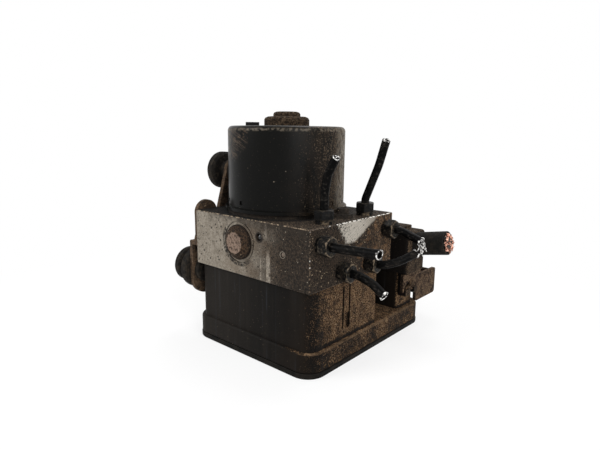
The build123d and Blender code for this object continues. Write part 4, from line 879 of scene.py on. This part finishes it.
wire_turns = np.arange(outer_wires) / outer_wires * tau
wire_middles = [(0, 0)] + [(wire_ring * cos(t), wire_ring * sin(t)) for t in wire_turns]
strands = [
    grid_mesh(tube(strand(middle), strand_radius, strand_sides))
    for middle in wire_middles for _ in range(strands_per_wire)
]
strand_finish = Finish("bare_copper")
strand_tone = strand_finish.noise(1.6, 3.0).rise(0.35, 0.7)
strand_colour = strand_finish.mix(strand_tone, srgb(128, 74, 56), srgb(255, 204, 180))
bare_copper = strand_finish.done(strand_colour, 0.32, 0.7, strand_finish.noise(0.3), 0.03)
copper_strands = joined("copper_strands", strands, bare_copper)
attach(copper_strands, "plug")
print("copper strands", len(strands), "faces", len(copper_strands.data.polygons))

# %% [markdown]
# ## Torn ends of the pipes
# A brake pipe that is cut with pliers ends in a pinched, bright lip round a narrowed mouth. The lip is a
# ring surface: its profile runs from the coating's edge over the rim and down into the bore, and the
# rim's radius and height waver round the mouth.


# %% Pipe lips
lip_points, wave_limit = 40, 0.6
# The lip's profile, from the coating into the bore: radius and place along the pipe in mm, and the share
# of the pinch and of the waves that each ring takes.
lip_profile = (
    (2.61, -0.8, 0), (2.74, -0.2, 0.3), (2.7, 0.25, 1), (2.4, 0.3, 1), (2.25, 0.0, 0.4), (2.2, -0.3, 0),
)


def pipe_lip(end, run, pinch, ragged, turn, seed):
    """Rings from the coating's edge over a wavering rim and into the mouth of a pipe.

    At angle t the radius is scaled by 1 - pinch * cos(2t + turn), and the rim stands ragged * waves(t)
    proud. The waves are a sum of four cosines with random phases, held within wave_limit either way."""
    waver = np.random.default_rng(seed)
    t = np.linspace(0, tau, lip_points, endpoint=False)
    run = np.array(run, float) / np.linalg.norm(run)
    side = np.cross(run, (0.1, 0.2, 0.97))
    side /= np.linalg.norm(side)
    lift = np.cross(run, side)
    waves = sum(np.cos(n * t + waver.uniform(0, tau)) * (0.6 / n) for n in (2, 3, 5, 9))
    waves = np.clip(waves, -wave_limit, wave_limit)
    squeeze = 1 - pinch * np.cos(2 * t + turn)
    rings = []
    for radius, out, share in lip_profile:
        reach = radius * (1 + (squeeze - 1) * min(1, 0.4 + share))
        ring = np.outer(reach * np.cos(t), side) + np.outer(reach * np.sin(t), lift)
        rings.append(np.array(end) + ring + np.outer(out + share * ragged * waves, run))
    return grid_mesh(np.array(rings), closed_ends=False)


def far_end(name, run):
    """The middle of a pipe's cut end: its points that lie furthest along the pipe's last run."""
    points = np.empty(len(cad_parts[name].data.vertices) * 3)
    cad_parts[name].data.vertices.foreach_get("co", points)
    points = points.reshape(-1, 3) / MM
    ahead = points @ (np.array(run) / np.linalg.norm(run))
    tip = points[ahead > ahead.max() - 0.05]
    return (tip.max(0) + tip.min(0)) / 2


cut_finish = Finish("cut_bright")
cut_tone = cut_finish.noise(1.1, 3.0).rise(0.42, 0.58)
cut_colour = cut_finish.mix(cut_tone, srgb(40, 37, 34), srgb(226, 224, 220))
cut_bright = cut_finish.done(cut_colour, 0.35, 0.3, cut_finish.noise(0.7), 0.15)
# For each pipe: its last run, how far its mouth is pinched and torn, the pinch's turn, and a seed.
pipe_cuts = {
    "inlet_pipe_front": ((5.3, 0.7, 9.6), 0.28, 0.9, 1.2, 3),
    "inlet_pipe_rear": ((4.7, 0.0, 15.8), 0.2, 1.3, 0.4, 5),
    "outlet_pipe_upper_front": ((27.5, -0.6, 1.4), 0.16, 0.3, 2.0, 8),
    "outlet_pipe_lower_front": ((9.0, -1.0, -5.4), 0.1, 0.5, 0.0, 11),
    "outlet_pipe_lower_rear": ((5.4, 11.0, 4.2), 0.12, 0.7, 0.8, 13),
    "outlet_pipe_upper_rear": ((15.0, -0.3, -5.0), 0.2, 1.0, 1.5, 17),
}
pipe_ends = {name: far_end(name, cut[0]) for name, cut in pipe_cuts.items()}
lips = joined("pipe_lips", [pipe_lip(pipe_ends[name], *cut) for name, cut in pipe_cuts.items()], cut_bright)
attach(lips, "module")
print("pipe lips", len(pipe_cuts), "faces", len(lips.data.polygons))

# %% [markdown]
# ## Frayed metal
# Two of the pipes were torn off rather than cut, so shreds of their wall hang from them. A shred is a
# thin tube again: it leaves the rim along the pipe, then droops with the square of the distance, and a
# sine with a random phase crimps it.


# %% Shreds
shred_radius, shred_sides, rim_radius = 0.24, 4, 2.0


def shred(end, run, reach, droop):
    """A shred's path from a random point of the rim: out along the run, down as the square of the way.

    A sine of the way, growing with it, crimps the shred."""
    along = np.linspace(0, 1, 10)[:, None]
    run = np.array(run) / np.linalg.norm(run)
    side = np.cross(run, (0, 0, 1.0))
    start_turn, phase = random.uniform(0, tau, 2)
    length, fall, drift = random.uniform(0.3, 1.0, 2).tolist() + [random.normal(0, 2.0)]
    rim = rim_radius * (cos(start_turn) * side + sin(start_turn) * np.cross(side, run))
    crimp = 0.55 * np.sin(phase + 9.0 * along) * np.array([0.5, 1.0, 0.6])
    out = end + rim + (along * length * reach - 0.8) * run
    return out + along**2 * (drift * side - np.array([0, 0, fall * droop])) + crimp * along


shreds = [
    grid_mesh(tube(shred(pipe_ends[name], pipe_cuts[name][0], reach, droop), shred_radius, shred_sides))
    for name, count, reach, droop in (
        ("outlet_pipe_upper_rear", 16, 5.0, 9.0), ("outlet_pipe_lower_rear", 7, 3.0, 2.5),
        ("inlet_pipe_rear", 3, 1.5, 3.0), ("inlet_pipe_front", 2, 1.5, 1.0),
    )
    for _ in range(count)
]
torn_shreds = joined("torn_shreds", shreds, cut_bright)
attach(torn_shreds, "module")
print("shreds", len(shreds), "faces", len(torn_shreds.data.polygons))

# %% [markdown]
# ## The studio
# A pale floor and a white surround, with a large soft lamp to the left of the camera, one further off to
# its right and one behind. Where the camera, a mirror or a clear part looks past the object it sees plain
# white. The floor is mostly that white too, mixed with enough of its lit self near the object to keep the
# shadow, and it turns plain white further out, so no horizon is seen.

# %% Floor, lamps and surround
floor_radius, floor_sides, floor_tone = 3.0, 96, 0.86
white_near, white_from, white_past = 0.7, 120.0, 320.0  # the white's share near by, and its ramp in mm
floor_angles = np.linspace(0, tau, floor_sides, endpoint=False)
floor_circle = np.stack([np.cos(floor_angles), np.sin(floor_angles), 0 * floor_angles], -1)
floor_points = floor_radius * floor_circle


def seen_directly(tree):
    """1 for rays from the camera, off a mirror or through glass, and 0 for the light that falls on things."""
    kinds = ("Is Camera Ray", "Is Glossy Ray", "Is Transmission Ray")
    camera_ray, glossy_ray, clear_ray = [add_node(tree, "ShaderNodeLightPath", out=kind) for kind in kinds]
    return (camera_ray + glossy_ray + clear_ray).low(1.0)


floor_finish = Finish("floor")
floor_tree = floor_finish.tree
lit = Signal(floor_tree, floor_tree.nodes["Principled BSDF"].outputs["BSDF"])
floor_finish.done((floor_tone,) * 3, 0.9, specular=0.1)
white = add_node(floor_tree, "ShaderNodeEmission", None, {"Color": (1, 1, 1, 1), "Strength": 1.0})
away = (floor_finish.x.power(2) + floor_finish.y.power(2)).power(0.5).rise(white_from, white_past)
white_share = seen_directly(floor_tree) * (away * (1 - white_near) + white_near)
mixed = add_node(floor_tree, "ShaderNodeMixShader", None, {0: white_share, 1: lit, 2: white})
floor_tree.links.new(mixed.socket, floor_tree.nodes["Material Output"].inputs["Surface"])
floor_face = list(range(floor_sides))
floor = joined("floor", [(floor_points, [floor_face])], floor_finish.material, smooth=False)

world = bpy.data.worlds.new("surround")
world.use_nodes = True
bpy.context.scene.world = world
surround_level = 0.42
strength = seen_directly(world.node_tree) * (1 - surround_level) + surround_level
background = world.node_tree.nodes["Background"]
background.inputs["Color"].default_value = (1, 1, 1, 1)
world.node_tree.links.new(strength.socket, background.inputs["Strength"])


def soft_lamp(name, place, aim, size, power):
    """A square area lamp of size metres and power watts at place, turned so that it faces aim."""
    data = bpy.data.lights.new(name, "AREA")
    data.size, data.energy = size, power
    lamp = bpy.data.objects.new(name, data)
    lamp.location = place
    lamp.rotation_mode = "QUATERNION"
    lamp.rotation_quaternion = (Vector(aim) - Vector(place)).to_track_quat("-Z", "Y")
    bpy.context.scene.collection.objects.link(lamp)
    print(name, "lamp", power, "W")


middle = (0.0, 0.0, 0.08)
soft_lamp("key", (-0.6, -0.95, 0.75), middle, 0.7, 10.5)
soft_lamp("fill", (1.0, -0.35, 0.6), middle, 0.8, 12.5)
soft_lamp("rim", (-0.1, 0.6, 1.1), middle, 0.8, 7.5)
bpy.context.scene.view_settings.view_transform = "Standard"
print("floor radius", floor_radius, "m, surround", surround_level)
